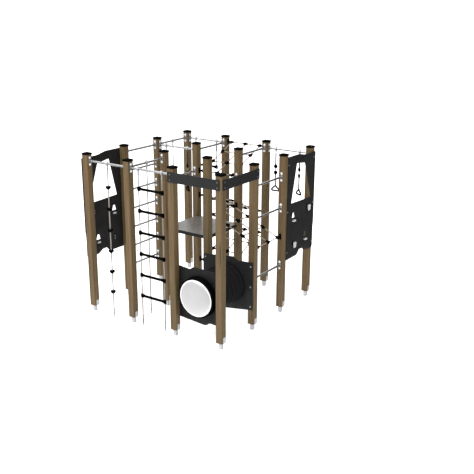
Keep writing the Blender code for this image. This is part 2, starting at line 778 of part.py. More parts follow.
def connector(here, across, slope, column, row):
    """The plastic cross that holds two ropes, or the T at the net's edge, as one flat plate with arms."""
    stub = ARM * 0.4
    left = ARM if column > 0 else stub
    right = ARM if column < NET_COLUMNS - 1 else stub
    above = ARM if row > 0 else stub
    below = ARM if row < NET_ROWS - 1 else stub
    half = ARM_W / 2
    outline = [(right, -half), (right, half), (half, half), (half, below), (-half, below), (-half, half)]
    outline += [(-left, half), (-left, -half), (-half, -half), (-half, -above), (half, -above), (half, -half)]
    piece = slab(outline, -half, half, "Y")
    turn = Matrix((across, across.cross(slope) * -1, slope)).transposed().to_4x4()
    piece.data.transform(Matrix.Translation(here) @ turn)
    return piece


def nets():
    net("net_upper", (1, 3), ALONG_X, -ALONG_Y, 2.985, 2.560)
    net("net_middle", (1, 2), ALONG_X, ALONG_Y, 2.060, 1.625)
    net("net_lower", (1, 3), ALONG_X, -ALONG_Y, 1.160, 0.700)
    net("net_side", (2, 1), ALONG_Y, ALONG_X, 2.000, 1.550)


posts()
plain_bars()
hanging_bars()
rope_bars()
swinging_parts()
beams()
climbing_panel("climbing_panel_right", 1)
climbing_panel("climbing_panel_left", -1)
deck()
tunnel_boards()
tunnel_tube()
tunnel_window()
nets()
bpy.data.collections.remove(CUTTERS)
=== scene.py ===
"""The looks of a climbing frame: sixteen timber posts on a square grid, with bars, ropes, nets, boards,
a deck and a crawl tunnel. Every piece is placed from the CAD nodes' boxes and rides on a CAD body."""

import math

import bmesh
import bpy
from mathutils import Matrix, Vector


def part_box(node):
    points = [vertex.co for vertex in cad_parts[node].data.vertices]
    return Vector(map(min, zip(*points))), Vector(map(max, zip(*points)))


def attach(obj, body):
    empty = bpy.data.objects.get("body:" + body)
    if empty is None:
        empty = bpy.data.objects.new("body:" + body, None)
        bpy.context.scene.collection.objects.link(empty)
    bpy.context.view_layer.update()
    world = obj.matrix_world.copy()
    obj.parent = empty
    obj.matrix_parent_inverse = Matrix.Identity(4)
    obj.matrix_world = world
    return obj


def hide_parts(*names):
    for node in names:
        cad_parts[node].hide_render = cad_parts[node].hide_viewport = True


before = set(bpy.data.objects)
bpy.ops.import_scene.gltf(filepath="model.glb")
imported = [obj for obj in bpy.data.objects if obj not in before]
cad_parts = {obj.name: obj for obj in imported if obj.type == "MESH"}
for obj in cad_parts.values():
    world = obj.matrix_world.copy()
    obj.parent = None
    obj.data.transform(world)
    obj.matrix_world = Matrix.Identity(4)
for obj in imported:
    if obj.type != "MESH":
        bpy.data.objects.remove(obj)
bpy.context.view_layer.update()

X, Y, Z = Vector((1, 0, 0)), Vector((0, 1, 0)), Vector((0, 0, 1))

# ---- the frame's own places and sizes


def low_high(node):
    """The two corners of a CAD node's box."""
    low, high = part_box(node)
    return Vector(low), Vector(high)


def middle_of(node):
    low, high = low_high(node)
    return (low + high) / 2


ORIGIN = Vector((*middle_of("post_a1").xy, 0.0))
PITCH = middle_of("post_b1").x - ORIGIN.x
POST = 0.128
FACE = POST / 2
# Pieces that touch keep this far apart, as their CAD nodes do.
GAP = 0.0003

# Bars: their end plates are as far above the tube as below it, which gives the tube's height.
FLANGE_W, FLANGE_H, FLANGE_T = 0.051, 0.182, 0.006
RAIL_Z = low_high("top_bar_a2_a3")[1].z - FLANGE_H / 2
RAIL_R, RUNG_R = 0.021, 0.019
CLAMP_R = 0.034
CLAMP_LOW, SLEEVE_LOW = RAIL_Z - CLAMP_R, RAIL_Z - 0.125

# Climbing ropes, from their sleeves down to their anchors, and what is on them.
ROPE_R = 0.012
ROPE_HIGH, ROPE_LOW, ROPE_END = RAIL_Z - 0.115, 0.19, 0.002
STEPPED_ROPE_LOW = 0.445
ANCHOR_TOP, CABLE_ANCHOR_TOP = 0.16, 0.11
LADDER_HALF = 0.268
LADDER_STEPS = [0.59 + 0.404 * step for step in range(6)]
HEART_STEPS = [0.5 + 0.406 * step for step in range(6)]

# Grips and trapeze. A grip's rope carries drops (height, and 1 to point up) and sleeves (height, length).
HANG = 0.271
SWIVEL_Z, TRAPEZE_Z = 2.75, 2.411
GRIP_ROPE_R = 0.0105
GRIP_ROPE = (2.3, 2.7)
GRIP_DROPS = ((2.612, 1), (2.48, -1))
GRIP_SLEEVES = ((2.694, 0.045), (2.452, 0.142))
HANDLE_TOP, HANDLE_LOW, HANDLE_HALF, HANDLE_R = 2.213, 2.11, 0.115, 0.0165

# Boards. Places on a climbing board are (across from its middle, height).
BOARD, PANEL = 0.015, 0.018
BEAM_BOLTS = (2.887, 2.98)
TUNNEL_BOLTS = (0.47, 0.85, 1.24)
PANEL_MIDDLE, PANEL_INNER, PANEL_OUTER = 0.565, 0.52, 0.506
PANEL_WINDOW = [(-0.392, 2.145), (0.382, 2.12), (0.112, 2.845), (-0.207, 2.89)]
STEP_HOLES = [(-0.29, 1.9), (0.178, 1.415)]
STEP_HOLE = [(-0.06, -0.052), (0.06, -0.052), (0.028, 0.052), (-0.028, 0.052)]
HOLDS = [(0.25, 1.93), (-0.275, 1.302)]
PANEL_BOLTS = [(across, height) for across in (0.445, -0.508) for height in (1.2, 2.00, 2.9)]

# Tunnel and nets
TUNNEL_X, TUNNEL_Z, BORE, RIBS = 2.5, 0.842, 0.335, 6
NET_COLUMNS, NET_ROWS, NET_EDGE, NET_ROPE_R = 3, 4, 0.155, 0.0105
LONG_ARM, SHORT_ARM = 0.052, 0.024


def place(x, y, z):
    """A point given in grid steps from the corner post a1, as a point of the frame."""
    return ORIGIN + Vector((x * PITCH, y * PITCH, z))


# ---- camera


def add_camera():
    """The view from the front right, from a little above the top bars."""
    azimuth, elevation, roll = math.radians(34.0), math.radians(17.65), math.radians(0.324)
    right = Vector((math.cos(azimuth), math.sin(azimuth), 0))
    level_back = Vector((math.sin(azimuth), -math.cos(azimuth), 0))
    back = level_back * math.cos(elevation) + Z * math.sin(elevation)
    turned_right = right * math.cos(roll) + back.cross(right) * math.sin(roll)
    up = back.cross(turned_right)
    camera = bpy.data.objects.new("camera", bpy.data.cameras.new("camera"))
    camera.data.lens = 56.64
    camera.data.sensor_width = 36.0
    camera.matrix_world = Matrix((turned_right, up, back)).transposed().to_4x4()
    camera.location = place(9.806, -9.608, 5.79)
    bpy.context.scene.collection.objects.link(camera)
    bpy.context.scene.camera = camera


add_camera()

# ---- materials


class Nodes:
    """A node tree with short calls. A value is a number, a colour or another node's output."""

    def __init__(self, owner):
        owner.use_nodes = True
        self.tree = owner.node_tree
        self.coordinates = self.add("ShaderNodeTexCoord").outputs

    def fill(self, socket, value):
        if isinstance(value, tuple):
            socket.default_value = (*value, 1)
        elif isinstance(value, (int, float)):
            socket.default_value = value
        else:
            self.tree.links.new(value, socket)

    def add(self, kind, values=None, **settings):
        """A node with these settings, and these values in its inputs."""
        node = self.tree.nodes.new(kind)
        for key, setting in settings.items():
            setattr(node, key, setting)
        for key, value in (values or {}).items():
            self.fill(node.inputs[key], value)
        return node

    def split(self, vector):
        return self.add("ShaderNodeSeparateXYZ", {0: vector}).outputs

    def ramp(self, value, stops):
        node = self.add("ShaderNodeValToRGB", {"Fac": value})
        elements = node.color_ramp.elements
        while len(elements) < len(stops):
            elements.new(0.5)
        for element, (position, colour) in zip(elements, stops):
            element.position = position
            element.color = (*colour, 1)
        return node.outputs["Color"]

    def spread(self, value, low, high, from_low=0.3, from_high=0.7):
        """The value, with its range from_low to from_high spread over low to high."""
        values = {"Value": value, "From Min": from_low, "From Max": from_high, "To Min": low, "To Max": high}
        return self.add("ShaderNodeMapRange", values).outputs["Result"]

    def mix(self, factor, first, second, blend="MIX"):
        values = {0: factor, 6: first, 7: second}
        return self.add("ShaderNodeMix", values, data_type="RGBA", blend_type=blend).outputs[2]

    def math(self, operation, first, second=0.0):
        return self.add("ShaderNodeMath", {0: first, 1: second}, operation=operation).outputs[0]


class Finish(Nodes):
    """A material on the principled shader, its textures in the object's own space."""

    def __init__(self, name, colour, roughness, metallic=0.0, specular=0.5):
        self.material = bpy.data.materials.new(name)
        super().__init__(self.material)
        self.shader = self.tree.nodes["Principled BSDF"]
        self.colour(colour)
        self.roughness(roughness)
        self.set("Metallic", metallic)
        self.set("Specular IOR Level", specular)

    def set(self, name, value):
        self.fill(self.shader.inputs[name], value)

    def colour(self, value):
        self.set("Base Color", value)

    def roughness(self, value):
        self.set("Roughness", value)

    def texture(self, kind, stretch, values):
        mapping = self.add("ShaderNodeMapping", {"Vector": self.coordinates["Object"]})
        mapping.inputs["Scale"].default_value = stretch
        return self.add(kind, {**values, "Vector": mapping.outputs["Vector"]}).outputs

    def noise(self, scale, detail=4.0, stretch=(1, 1, 1), roughness=0.55, distortion=0.0):
        values = {"Scale": scale, "Detail": detail, "Roughness": roughness, "Distortion": distortion}
        return self.texture("ShaderNodeTexNoise", stretch, values)["Fac"]

    def cells(self, scale, randomness=1.0, stretch=(1, 1, 1)):
        values = {"Scale": scale, "Randomness": randomness}
        return self.texture("ShaderNodeTexVoronoi", stretch, values)["Distance"]

    def bump(self, height, strength, distance):
        """Relief, added to any relief there already is."""
        normal = self.shader.inputs["Normal"]
        values = {"Strength": strength, "Distance": distance, "Height": height}
        if normal.is_linked:
            values["Normal"] = normal.links[0].from_socket
        self.fill(normal, self.add("ShaderNodeBump", values).outputs["Normal"])


def timber():
    """Oiled, laminated larch: upright streaks, three lamellas a side, a few fine cracks with painted shade
    down in them.
    """
    m = Finish("oiled_timber", (0.18, 0.12, 0.06), 0.6, specular=0.22)
    streaks = m.noise(38.0, 6.0, (1, 1, 0.035), 0.62, 0.25)
    grain = m.noise(160.0, 4.0, (1, 1, 0.012), 0.6)
    blotches = m.noise(2.3, 3.0, (1, 1, 0.45))
    dark, brown = (0.3, (0.044, 0.028, 0.012)), (0.45, (0.104, 0.068, 0.03))
    fair, light = (0.56, (0.166, 0.109, 0.049)), (0.72, (0.285, 0.193, 0.096))
    tone = m.ramp(streaks, [dark, brown, fair, light])
    # Wider streaks that lean to green, red and grey in turn.
    for scale, distortion, most, low, colour in (
        (15.0, 0.0, 0.75, 0.3, (0.15, 0.113, 0.045)),
        (19.0, 0.3, 0.65, 0.45, (0.195, 0.097, 0.047)),
        (23.0, 0.0, 0.45, 0.5, (0.225, 0.158, 0.102)),
    ):
        wide = m.noise(scale, 2.0, (1, 1, 0.03), distortion=distortion)
        tone = m.mix(m.spread(wide, 0.0, most, low, 0.7), tone, colour)
    tone = m.mix(m.spread(blotches, 0.0, 0.25), tone, (0.084, 0.059, 0.03))
    # Each post is glued up from three boards, so its tone steps twice across one face.
    x, y = m.split(m.coordinates["Object"])[:2]
    first_face = 10.0 + FACE + PITCH / 2
    board_number = m.math("FLOOR", m.math("MULTIPLY", m.math("ADD", x, first_face), 3 / POST))
    row = m.math("FLOOR", m.math("ADD", y, 10.0))
    place_of_board = m.add("ShaderNodeCombineXYZ", {0: board_number, 1: row}).outputs[0]
    lamella = m.add("ShaderNodeTexWhiteNoise", {"Vector": place_of_board}, noise_dimensions="2D")
    tone = m.mix(m.spread(lamella.outputs["Value"], 0.0, 0.75, 0.0, 1.0), tone, (0.112, 0.08, 0.037))
    tone = m.mix(m.spread(grain, 0.0, 0.5, 0.45, 0.7), tone, (0.08, 0.05, 0.025))
    cracks = m.spread(m.noise(70.0, 2.0, (1, 1, 0.01), 0.4), 0.0, 1.0, 0.66, 0.7)
    # The cracks are darkened in the colour as painted shade down in them, and sunk by the bump below.
    m.colour(m.mix(m.math("MULTIPLY", cracks, 0.75), tone, (0.03, 0.02, 0.012)))
    m.roughness(m.spread(streaks, 0.66, 0.46))
    m.bump(streaks, 0.35, 0.0012)
    m.bump(grain, 0.25, 0.0005)
    m.bump(m.math("SUBTRACT", 1.0, cracks), 0.6, 0.0015)
    return m.material


def galvanised(name, tone, roughness, metallic=1.0):
    """Galvanised steel: faint cloudy spangle and a satin sheen."""
    m = Finish(name, (tone, tone, tone * 1.015), roughness, metallic)
    spangle = m.noise(55.0, 3.0)
    cloud = m.noise(7.0, 4.0)
    dark, light = (tone * 0.8, tone * 0.81, tone * 0.84), (tone * 1.12, tone * 1.12, tone * 1.12)
    shade = m.mix(m.spread(spangle, 0.0, 0.35), (tone, tone, tone * 1.02), dark)
    m.colour(m.mix(m.spread(cloud, 0.0, 0.3), shade, light))
    m.roughness(m.spread(cloud, roughness - 0.07, roughness + 0.12))
    m.bump(m.noise(320.0, 2.0), 0.1, 0.0003)
    return m.material


def laminate(name, colour, light, roughness=0.48):
    """High pressure laminate: one colour, with a fine pebbled grain and faint rubbed patches."""
    m = Finish(name, colour, roughness, specular=0.28)
    rubbed = m.noise(3.2, 5.0)
    m.colour(m.mix(m.spread(rubbed, 0.0, 0.5, 0.4, 0.75), colour, light))
    m.roughness(m.spread(m.noise(9.0, 4.0), roughness - 0.08, roughness + 0.12))
    m.bump(m.cells(420.0), 0.22, 0.0004)
    return m.material


def plastic(name, colour, roughness, grain=900.0):
    """Moulded plastic with a fine spark-eroded texture and light scuffs."""
    m = Finish(name, colour, roughness, specular=0.02)
    scuff = m.noise(26.0, 6.0, roughness=0.7)
    lighter = tuple(min(1.0, value * 1.5 + 0.002) for value in colour)
    m.colour(m.mix(m.spread(scuff, 0.0, 0.45, 0.5, 0.8), colour, lighter))
    m.roughness(m.spread(scuff, roughness - 0.06, roughness + 0.14))
    m.bump(m.noise(grain, 2.0), 0.18, 0.0002)
    return m.material


def rope_yarn(name, light, dark):
    """Polyester yarn: fine fibres in a light and a dark tone, with darker soiled patches."""
    m = Finish(name, light, 0.82)
    fibres = m.noise(700.0, 3.0, (1, 1, 1), 0.7)
    soil = m.noise(6.0, 4.0)
    base = m.mix(m.spread(fibres, 0.0, 0.75, 0.35, 0.65), light, dark)
    m.colour(m.mix(m.spread(soil, 0.0, 0.35), base, tuple(0.75 * value for value in dark)))
    m.set("Sheen Weight", 0.25)
    m.bump(fibres, 0.45, 0.0008)
    return m.material


def anti_slip():
    """The deck's walking surface: grey laminate with a close field of small round studs."""
    m = Finish("anti_slip_deck", (0.06, 0.06, 0.065), 0.3, metallic=0.5)
    studs = m.cells(85.0, 0.0, (1, 1, 0))
    wear = m.noise(4.0, 5.0)
    m.colour(m.mix(m.spread(wear, 0.0, 0.6), (0.25, 0.24, 0.228), (0.3, 0.29, 0.278)))
    m.roughness(m.spread(wear, 0.27, 0.21))
    m.bump(m.spread(studs, 1.0, 0.0, 0.22, 0.38), 0.15, 0.0005)
    return m.material


def opal():
    """The window's opal plastic: glossy, milky, faintly uneven."""
    m = Finish("opal_plastic", (0.8, 0.81, 0.82), 0.12, metallic=0.6)
    cloud = m.noise(2.2, 3.0)
    m.colour(m.mix(m.spread(cloud, 0.0, 1.0), (0.64, 0.64, 0.65), (0.72, 0.72, 0.72)))
    m.roughness(m.spread(m.noise(18.0, 4.0), 0.08, 0.2))
    m.set("Coat Weight", 0.5)
    m.set("Coat Roughness", 0.05)
    return m.material


TIMBER = timber()
STEEL = galvanised("galvanised_steel", 0.54, 0.22)
CAST = galvanised("cast_fitting", 0.55, 0.42, 0.8)
SHOE = galvanised("galvanised_shoe", 0.58, 0.55, 0.25)
ZINC = galvanised("zinc_plated", 0.9, 0.42, 0.1)
PLATE = galvanised("end_plate", 0.2, 0.5, 0.6)
DARK_STEEL = galvanised("dark_sleeve", 0.055, 0.45, 0.6)
TENSIONER = galvanised("tensioner_steel", 0.16, 0.45, 0.7)
SLATE = laminate("slate_laminate", (0.0145, 0.0145, 0.0155), (0.02, 0.02, 0.021))
CHARCOAL = laminate("charcoal_laminate", (0.0125, 0.0125, 0.013), (0.019, 0.019, 0.0195))
# A darker copy of the charcoal laminate for the tunnel's front board: painted shade.
SHADED = laminate("tunnel_laminate_painted_shade", (0.0075, 0.0075, 0.008), (0.0115, 0.0115, 0.012), 0.52)
EDGE = laminate("dark_laminate_edge", (0.01, 0.01, 0.011), (0.018, 0.018, 0.018), 0.6)
DECK = anti_slip()
BLACK = plastic("black_moulded_plastic", (0.0016, 0.0016, 0.0018), 0.64)
PIPE = plastic("black_pipe_plastic", (0.012, 0.012, 0.013), 0.45, 300.0)
HOLD = plastic("grey_resin", (0.52, 0.52, 0.53), 0.62, 260.0)
ROPE = rope_yarn("beige_rope", (0.36, 0.3, 0.235), (0.21, 0.17, 0.13))
PALE_ROPE = rope_yarn("pale_rope", (0.37, 0.35, 0.31), (0.22, 0.205, 0.18))
OPAL = opal()
RIM = plastic("white_rim_plastic", (0.82, 0.82, 0.82), 0.45)

FINISHES = {
    "timber": (TIMBER,),
    "steel": (STEEL, CAST, SHOE, ZINC, PLATE, DARK_STEEL, TENSIONER),
    "slate_board": (SLATE,),
    "charcoal_board": (CHARCOAL, SHADED, EDGE),
    "deck_board": (DECK,),
    "black_plastic": (BLACK, PIPE),
    "rope": (ROPE, PALE_ROPE),
    "opal_plastic": (OPAL, HOLD, RIM),
}
SLOTS = {material: slot for slot, materials in FINISHES.items() for material in materials}

# ---- shapes, each added to a bmesh


def side_frame(along):
    """Two directions square to a direction, the first as near to level as can be."""
    along = along.normalized()
    across = Z.cross(along)
    if across.length < 1e-3:
        across = X.copy()
    across.normalize()
    return across, along.cross(across).normalized()


def skin(shape, rings, closed=False):
    """Faces between rings of points, with a flat end at each end unless the rings close on themselves."""
    rows = [[shape.verts.new(point) for point in ring] for ring in rings]
    count = len(rows[0])
    pairs = list(zip(rows, rows[1:] + rows[:1])) if closed else list(zip(rows, rows[1:]))
    for first, second in pairs:
        for i in range(count):
            j = (i + 1) % count
            shape.faces.new((first[i], first[j], second[j], second[i]))
    if not closed:
        shape.faces.new(rows[0][::-1])
        shape.faces.new(rows[-1])


def circle(middle, across, up, radius, sides):
    """Points round a circle in the plane of two directions."""
    points = []
    for i in range(sides):
        angle = math.tau * i / sides
        points.append(middle + (across * math.cos(angle) + up * math.sin(angle)) * radius)
    return points


def turned(shape, base, along, profile, sides=20):
    """A profile of (radius, distance) turned about the line through base along a direction."""
    across, up = side_frame(along)
    along = along.normalized()
    rings = [circle(base + along * far, across, up, max(radius, 1e-5), sides) for radius, far in profile]
    skin(shape, rings)


def hoop(shape, middle, profile, sides=96):
    """A closed profile of (radius, distance along Y) turned about the line through middle."""
    skin(shape, [circle(middle + Y * far, X, Z, radius, sides) for radius, far in profile], closed=True)


def ring_tube(shape, points, radius, sides):
    """A round tube along points that close on themselves, kept square to the path without twisting."""
    count = len(points)
    tangents = [(points[(i + 1) % count] - points[i - 1]).normalized() for i in range(count)]
    across, up = side_frame(tangents[0])
    rings = []
    for i, point in enumerate(points):
        if i > 0:
            across = tangents[i - 1].rotation_difference(tangents[i]) @ across
            across = (across - tangents[i] * across.dot(tangents[i])).normalized()
            up = tangents[i].cross(across)
        rings.append(circle(point, across, up, radius, sides))
    skin(shape, rings, closed=True)


def laid_rope(shape, start, end, radius, strands=6, lay=4.2):
    """A rope of twisted strands: a lobed section that turns once every so many diameters."""
    length = (end - start).length
    along = (end - start) / length
    across, up = side_frame(along)
    twist_length = lay * 2 * radius
    steps = max(2, round(length / (twist_length / 8)))
    rings = []
    for step in range(steps + 1):
        far = length * step / steps
        turn = math.tau * far / twist_length
        ring = []
        for i in range(strands * 2):
            angle = math.tau * i / (strands * 2) + turn
            reach = radius if i % 2 == 0 else radius * 0.86
            ring.append(start + along * far + (across * math.cos(angle) + up * math.sin(angle)) * reach)
        rings.append(ring)
    skin(shape, rings)


def loft(shape, base, along, across, up, sections, sides=20, power=2.0):
    """Oval sections (distance, half width, half height) joined along a direction."""
    rings = []
    for far, half_width, half_height in sections:
        ring = []
        for i in range(sides):
            angle = math.tau * i / sides
            c, s = math.cos(angle), math.sin(angle)
            wide = math.copysign(abs(c) ** (2 / power), c) * half_width
            high = math.copysign(abs(s) ** (2 / power), s) * half_height
            ring.append(base + along * far + across * wide + up * high)
        rings.append(ring)
    skin(shape, rings)


def stack(shape, base, levels, steps=5):
    """Squares of (half side, corner radius, height) with rounded corners, joined upwards."""
    rings = []
    for half, radius, height in levels:
        ring = []
        for quarter, (sx, sy) in enumerate(((1, 1), (-1, 1), (-1, -1), (1, -1))):
            for step in range(steps + 1):
                angle = math.pi / 2 * (quarter + step / steps)
                x = sx * (half - radius) + radius * math.cos(angle)
                y = sy * (half - radius) + radius * math.sin(angle)
                ring.append(base + Vector((x, y, height)))
        rings.append(ring)
    skin(shape, rings)


def soft_box(shape, middle, size, soft=0.003, segments=2):
    """A block with rounded edges. A size given as a sum of directions may hold minus signs."""
    scale = Matrix.Diagonal((*(abs(side) for side in size), 1))
    made = bmesh.ops.create_cube(shape, size=1.0, matrix=Matrix.Translation(middle) @ scale)
    edges = {edge for vert in made["verts"] for edge in vert.link_edges}
    bmesh.ops.bevel(shape, geom=list(edges), offset=soft, segments=segments, profile=0.5, affect="EDGES")


def bolt(shape, seat, out, radius=0.012, height=0.007, washer=True):
    """A button head with a hexagon socket, on a washer."""
    across, up = side_frame(out)
    start = seat
    if washer:
        rim = radius * 1.45
        turned(shape, seat, out, [(rim, -0.0008), (rim, 0.0012), (radius * 1.38, 0.0018)])
        start = seat + out * 0.0016
    rings = []
    for reach, far in ((1.0, 0.0), (0.99, 0.35), (0.86, 0.72), (0.62, 0.94), (0.5, 1.0)):
        rings.append(circle(start + out * far * height, across, up, reach * radius, 18))
    for reach, far in ((0.46, 0.98), (0.44, 0.45)):
        ring = []
        for i in range(18):
            angle = math.tau * i / 18
            flat = math.cos(math.pi / 6) / math.cos((angle % (math.pi / 3)) - math.pi / 6)
            spoke = across * math.cos(angle) + up * math.sin(angle)
            ring.append(start + out * far * height + spoke * radius * reach * flat)
        rings.append(ring)
    skin(shape, rings)


def new():
    return bmesh.new()


def add_object(name, shape, material):
    mesh = bpy.data.meshes.new(name)
    shape.to_mesh(mesh)
    shape.free()
    mesh.materials.append(material)
    obj = bpy.data.objects.new(name, mesh)
    bpy.context.scene.collection.objects.link(obj)
    return obj


def piece(name, shape, material, body="frame", replaces=(), angle=38.0):
    """One piece from a bmesh: its finish, its shading, its body and what it stands for."""
    bmesh.ops.recalc_face_normals(shape, faces=shape.faces)
    for face in shape.faces:
        face.smooth = True
    for edge in shape.edges:
        edge.smooth = edge.calc_face_angle(math.pi) < math.radians(angle)
    obj = add_object(name, shape, material)
    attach(obj, body)
    if replaces:
        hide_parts(*replaces)


def board(name, loops, low, high, facing, material, soft=0.002, replaces=()):
    """A board from closed outlines of (across, height), the first its edge and the rest its openings, with
    softened edges. facing is the axis its thickness lies along, from low to high."""
    curve = bpy.data.curves.new(name, "CURVE")
    curve.dimensions = "2D"
    curve.fill_mode = "BOTH"
    curve.extrude = (high - low) / 2 - soft
    curve.bevel_depth = soft
    curve.bevel_resolution = 2
    curve.offset = -soft
    for loop in loops:
        spline = curve.splines.new("POLY")
        spline.points.add(len(loop) - 1)
        for point, (across, height) in zip(spline.points, loop):
            point.co = (across, height, 0, 1)
        spline.use_cyclic_u = True
    guide = bpy.data.objects.new(name, curve)
    bpy.context.scene.collection.objects.link(guide)
    graph = bpy.context.evaluated_depsgraph_get()
    mesh = bpy.data.meshes.new_from_object(guide.evaluated_get(graph))
    bpy.data.objects.remove(guide, do_unlink=True)
    bpy.data.curves.remove(curve)
    shape = new()
    shape.from_mesh(mesh)
    bpy.data.meshes.remove(mesh)
    bmesh.ops.remove_doubles(shape, verts=shape.verts, dist=1e-5)
    centre = (low + high) / 2
    for vert in shape.verts:
        point = [vert.co.x, vert.co.y]
        point.insert("XYZ".index(facing), centre + vert.co.z)
        vert.co = point
    piece(name, shape, material, replaces=replaces, angle=30.0)


# ---- posts


def post(name):
    """A post's timber, its cap and its galvanised foot."""
    low, high = low_high(name)
    base = Vector((*middle_of(name).xy, 0.0))
    corner, bottom, top = 0.008, 0.12, high.z - 0.036
    levels = [(FACE - 0.004, corner, bottom), (FACE - 0.001, corner, bottom + 0.0012)]
    levels += [(FACE, corner, bottom + 0.004), (FACE, corner, top)]
    shape = new()
    stack(shape, base, levels)
    piece(f"{name}_timber", shape, TIMBER, replaces=[name])

    half = (high.x - low.x) / 2
    skirt = [(0.0035, 0.014, 0.04), (0.0005, 0.016, 0.0385), (0.0, 0.016, 0.036), (0.0, 0.016, 0.015)]
    peak = [(0.002, 0.015, 0.0105), (0.007, 0.014, 0.0078), (0.026, 0.012, 0.003), (0.046, 0.01, 0.0)]
    levels = [(half - inset, radius, high.z - drop) for inset, radius, drop in skirt + peak]
    shape = new()
    stack(shape, base, levels, 6)
    piece(f"{name}_cap", shape, BLACK)

    shape = new()
    leg, collar, corner = 0.031, 0.037, 0.004
    levels = [(leg, corner, 0.0), (leg, corner, 0.112), (collar, corner, 0.116), (collar, corner, 0.1205)]
    stack(shape, base, levels, 3)
    soft_box(shape, base + Vector((0, 0.004, 0.1165)), (POST + 0.001, 0.104, 0.007), 0.001)
    for way in (-1, 1):
        plate = base + Vector((way * (FACE - 0.0012), 0.018, 0.17))
        soft_box(shape, plate, (0.0035, 0.076, 0.108), 0.001)
        for lift in (-0.026, 0.026):
            seat = base + Vector((way * (FACE + 0.0002), 0.018, 0.17 + lift))
            bolt(shape, seat, X * way, 0.0065, 0.003, False)
    piece(f"{name}_foot", shape, SHOE)


# ---- bars


def flange(shape, bolts, face, out):
    """The oval end plate against a post, and its two bolts on their bosses."""
    across = Y if abs(out.x) > 0.5 else X
    half_wide, half_high, thick = FLANGE_W / 2, FLANGE_H / 2, FLANGE_T
    rings = []
    for reach, far in ((0.0, 0.0), (0.0, thick - 0.0012), (-0.0012, thick)):
        ring = []
        for end in (1, -1):
            for step in range(13):
                angle = math.pi * step / 12 + (0 if end > 0 else math.pi)
                point = across * (half_wide + reach) * math.cos(angle)
                point += Z * ((half_wide + reach) * math.sin(angle) + end * (half_high - half_wide))
                ring.append(face + out * far + point)
        rings.append(ring)
    skin(shape, rings)
    for lift in (-0.062, 0.062):
        seat = face + out * thick + Z * lift
        boss = [(0.024, -0.001), (0.024, 0.0024), (0.023, 0.0036), (0.019, 0.0042)]
        turned(bolts, seat, out, boss, 28)
        bolt(bolts, seat + out * 0.004, out, 0.0185, 0.009, False)


def bar(node, radius):
    """A tube between two posts, along its CAD node's longer side, with its end plates."""
    low, high = low_high(node)
    size = high - low
    middle = (low + high) / 2
    along = X if size.x > size.y else Y
    # A node's plates reach as far above the tube as below it, and the tube runs along a line of the grid.
    start = middle - along * (size.dot(along) / 2)
    end = middle + along * (size.dot(along) / 2)
    across = 1 if along is X else 0
    for point in (start, end):
        point.z = high.z - FLANGE_H / 2
        point[across] = round((middle[across] - ORIGIN[across]) / PITCH) * PITCH + ORIGIN[across]
    shape, plates, bolts = new(), new(), new()
    turned(shape, start + along * 0.002, along, [(radius, 0), (radius, (end - start).length - 0.004)], 32)
    for face, out in ((start, along), (end, -along)):
        flange(plates, bolts, face, out)
        weld = [(radius + 0.005, 0.004), (radius + 0.0045, 0.0075), (radius + 0.001, 0.011)]
        weld += [(radius - 0.001, 0.0115)]
        turned(shape, face, out, weld, 32)
    piece(f"{node}_tube", shape, STEEL, replaces=[node])
    piece(f"{node}_plates", plates, PLATE)
    piece(f"{node}_bolts", bolts, ZINC)
    return start, end, along


def clamp(shape, middle, along):
    """A cast clamp round a bar, with a screw on top and ears at its sides."""
    half = 0.0225
    profile = [(0.0215, -half), (0.0315, -half), (0.0335, -half + 0.002), (CLAMP_R, -half + 0.005)]
    profile += [(CLAMP_R, half - 0.005), (0.0335, half - 0.002), (0.0315, half), (0.0215, half)]
    turned(shape, middle, along, profile, 28)
    side = along.cross(Z)
    for way in (-1, 1):
        soft_box(shape, middle + side * way * 0.036, side * 0.016 + along * 0.03 + Z * 0.014, 0.002)
    bolt(shape, middle + Z * 0.0335, Z, 0.01, 0.01, True)


def socket(shape, x, y):
    """The eye and pressed sleeve that a climbing rope hangs from."""
    base = place(x, y, CLAMP_LOW)
    eye = [(0.01, 0), (0.015, 0.003), (0.016, 0.012), (0.0135, 0.02), (0.0125, 0.024)]
    turned(shape, base, -Z, eye)
    length = CLAMP_LOW - SLEEVE_LOW
    sleeve = [(0.0105, 0.02), (0.014, 0.024), (0.0145, 0.03), (0.0145, length - 0.01)]
    sleeve += [(0.0125, length - 0.002), (0.0115, length)]
    turned(shape, base, -Z, sleeve)


def plain_bars():
    """The bars and rungs that nothing hangs from."""
    for name in ("top_bar_a2_a3", "top_bar_b3_b4", "top_bar_c3_c4"):
        bar(name, RAIL_R)
    for name in ("hand_bar_b2_b3", "hand_bar_c2_c3", "side_bar_1", "side_bar_2", "side_bar_3"):
        bar(name, RUNG_R)
    for step in range(1, 7):
        bar(f"wall_rung_{step}", RUNG_R)


def hanging_bars():
    """The bars that grips and the trapeze hang from, with their clamps."""
    for name in ("grip_bar_c4_d4", "grip_bar_a3_b3", "trapeze_bar_a4_b4"):
        start, end, along = bar(name, RAIL_R)
        shape = new()
        for way in (-1, 1):
            clamp(shape, (start + end) / 2 + along * way * HANG * PITCH, along)
        piece(f"{name}_clamps", shape, CAST)


# ---- climbing ropes


def ground_anchor(shape, x, y, top):
    """The tensioner and thin rod that hold a rope's lower end in the ground."""
    base = place(x, y, ROPE_END)
    turned(shape, base, Z, [(0.008, 0), (0.008, 0.05)], 12)
    body = [(0.0085, 0.046), (0.0105, 0.05), (0.011, 0.058), (0.011, top - 0.036)]
    body += [(0.01, top - 0.03), (0.0085, top - 0.028)]
    turned(shape, base, Z, body, 16)
    neck = [(0.0085, top - 0.03), (0.008, top - 0.006), (0.011, top - 0.004)]
    neck += [(0.011, top + 0.04), (0.009, top + 0.044)]
    turned(shape, base, Z, neck, 16)


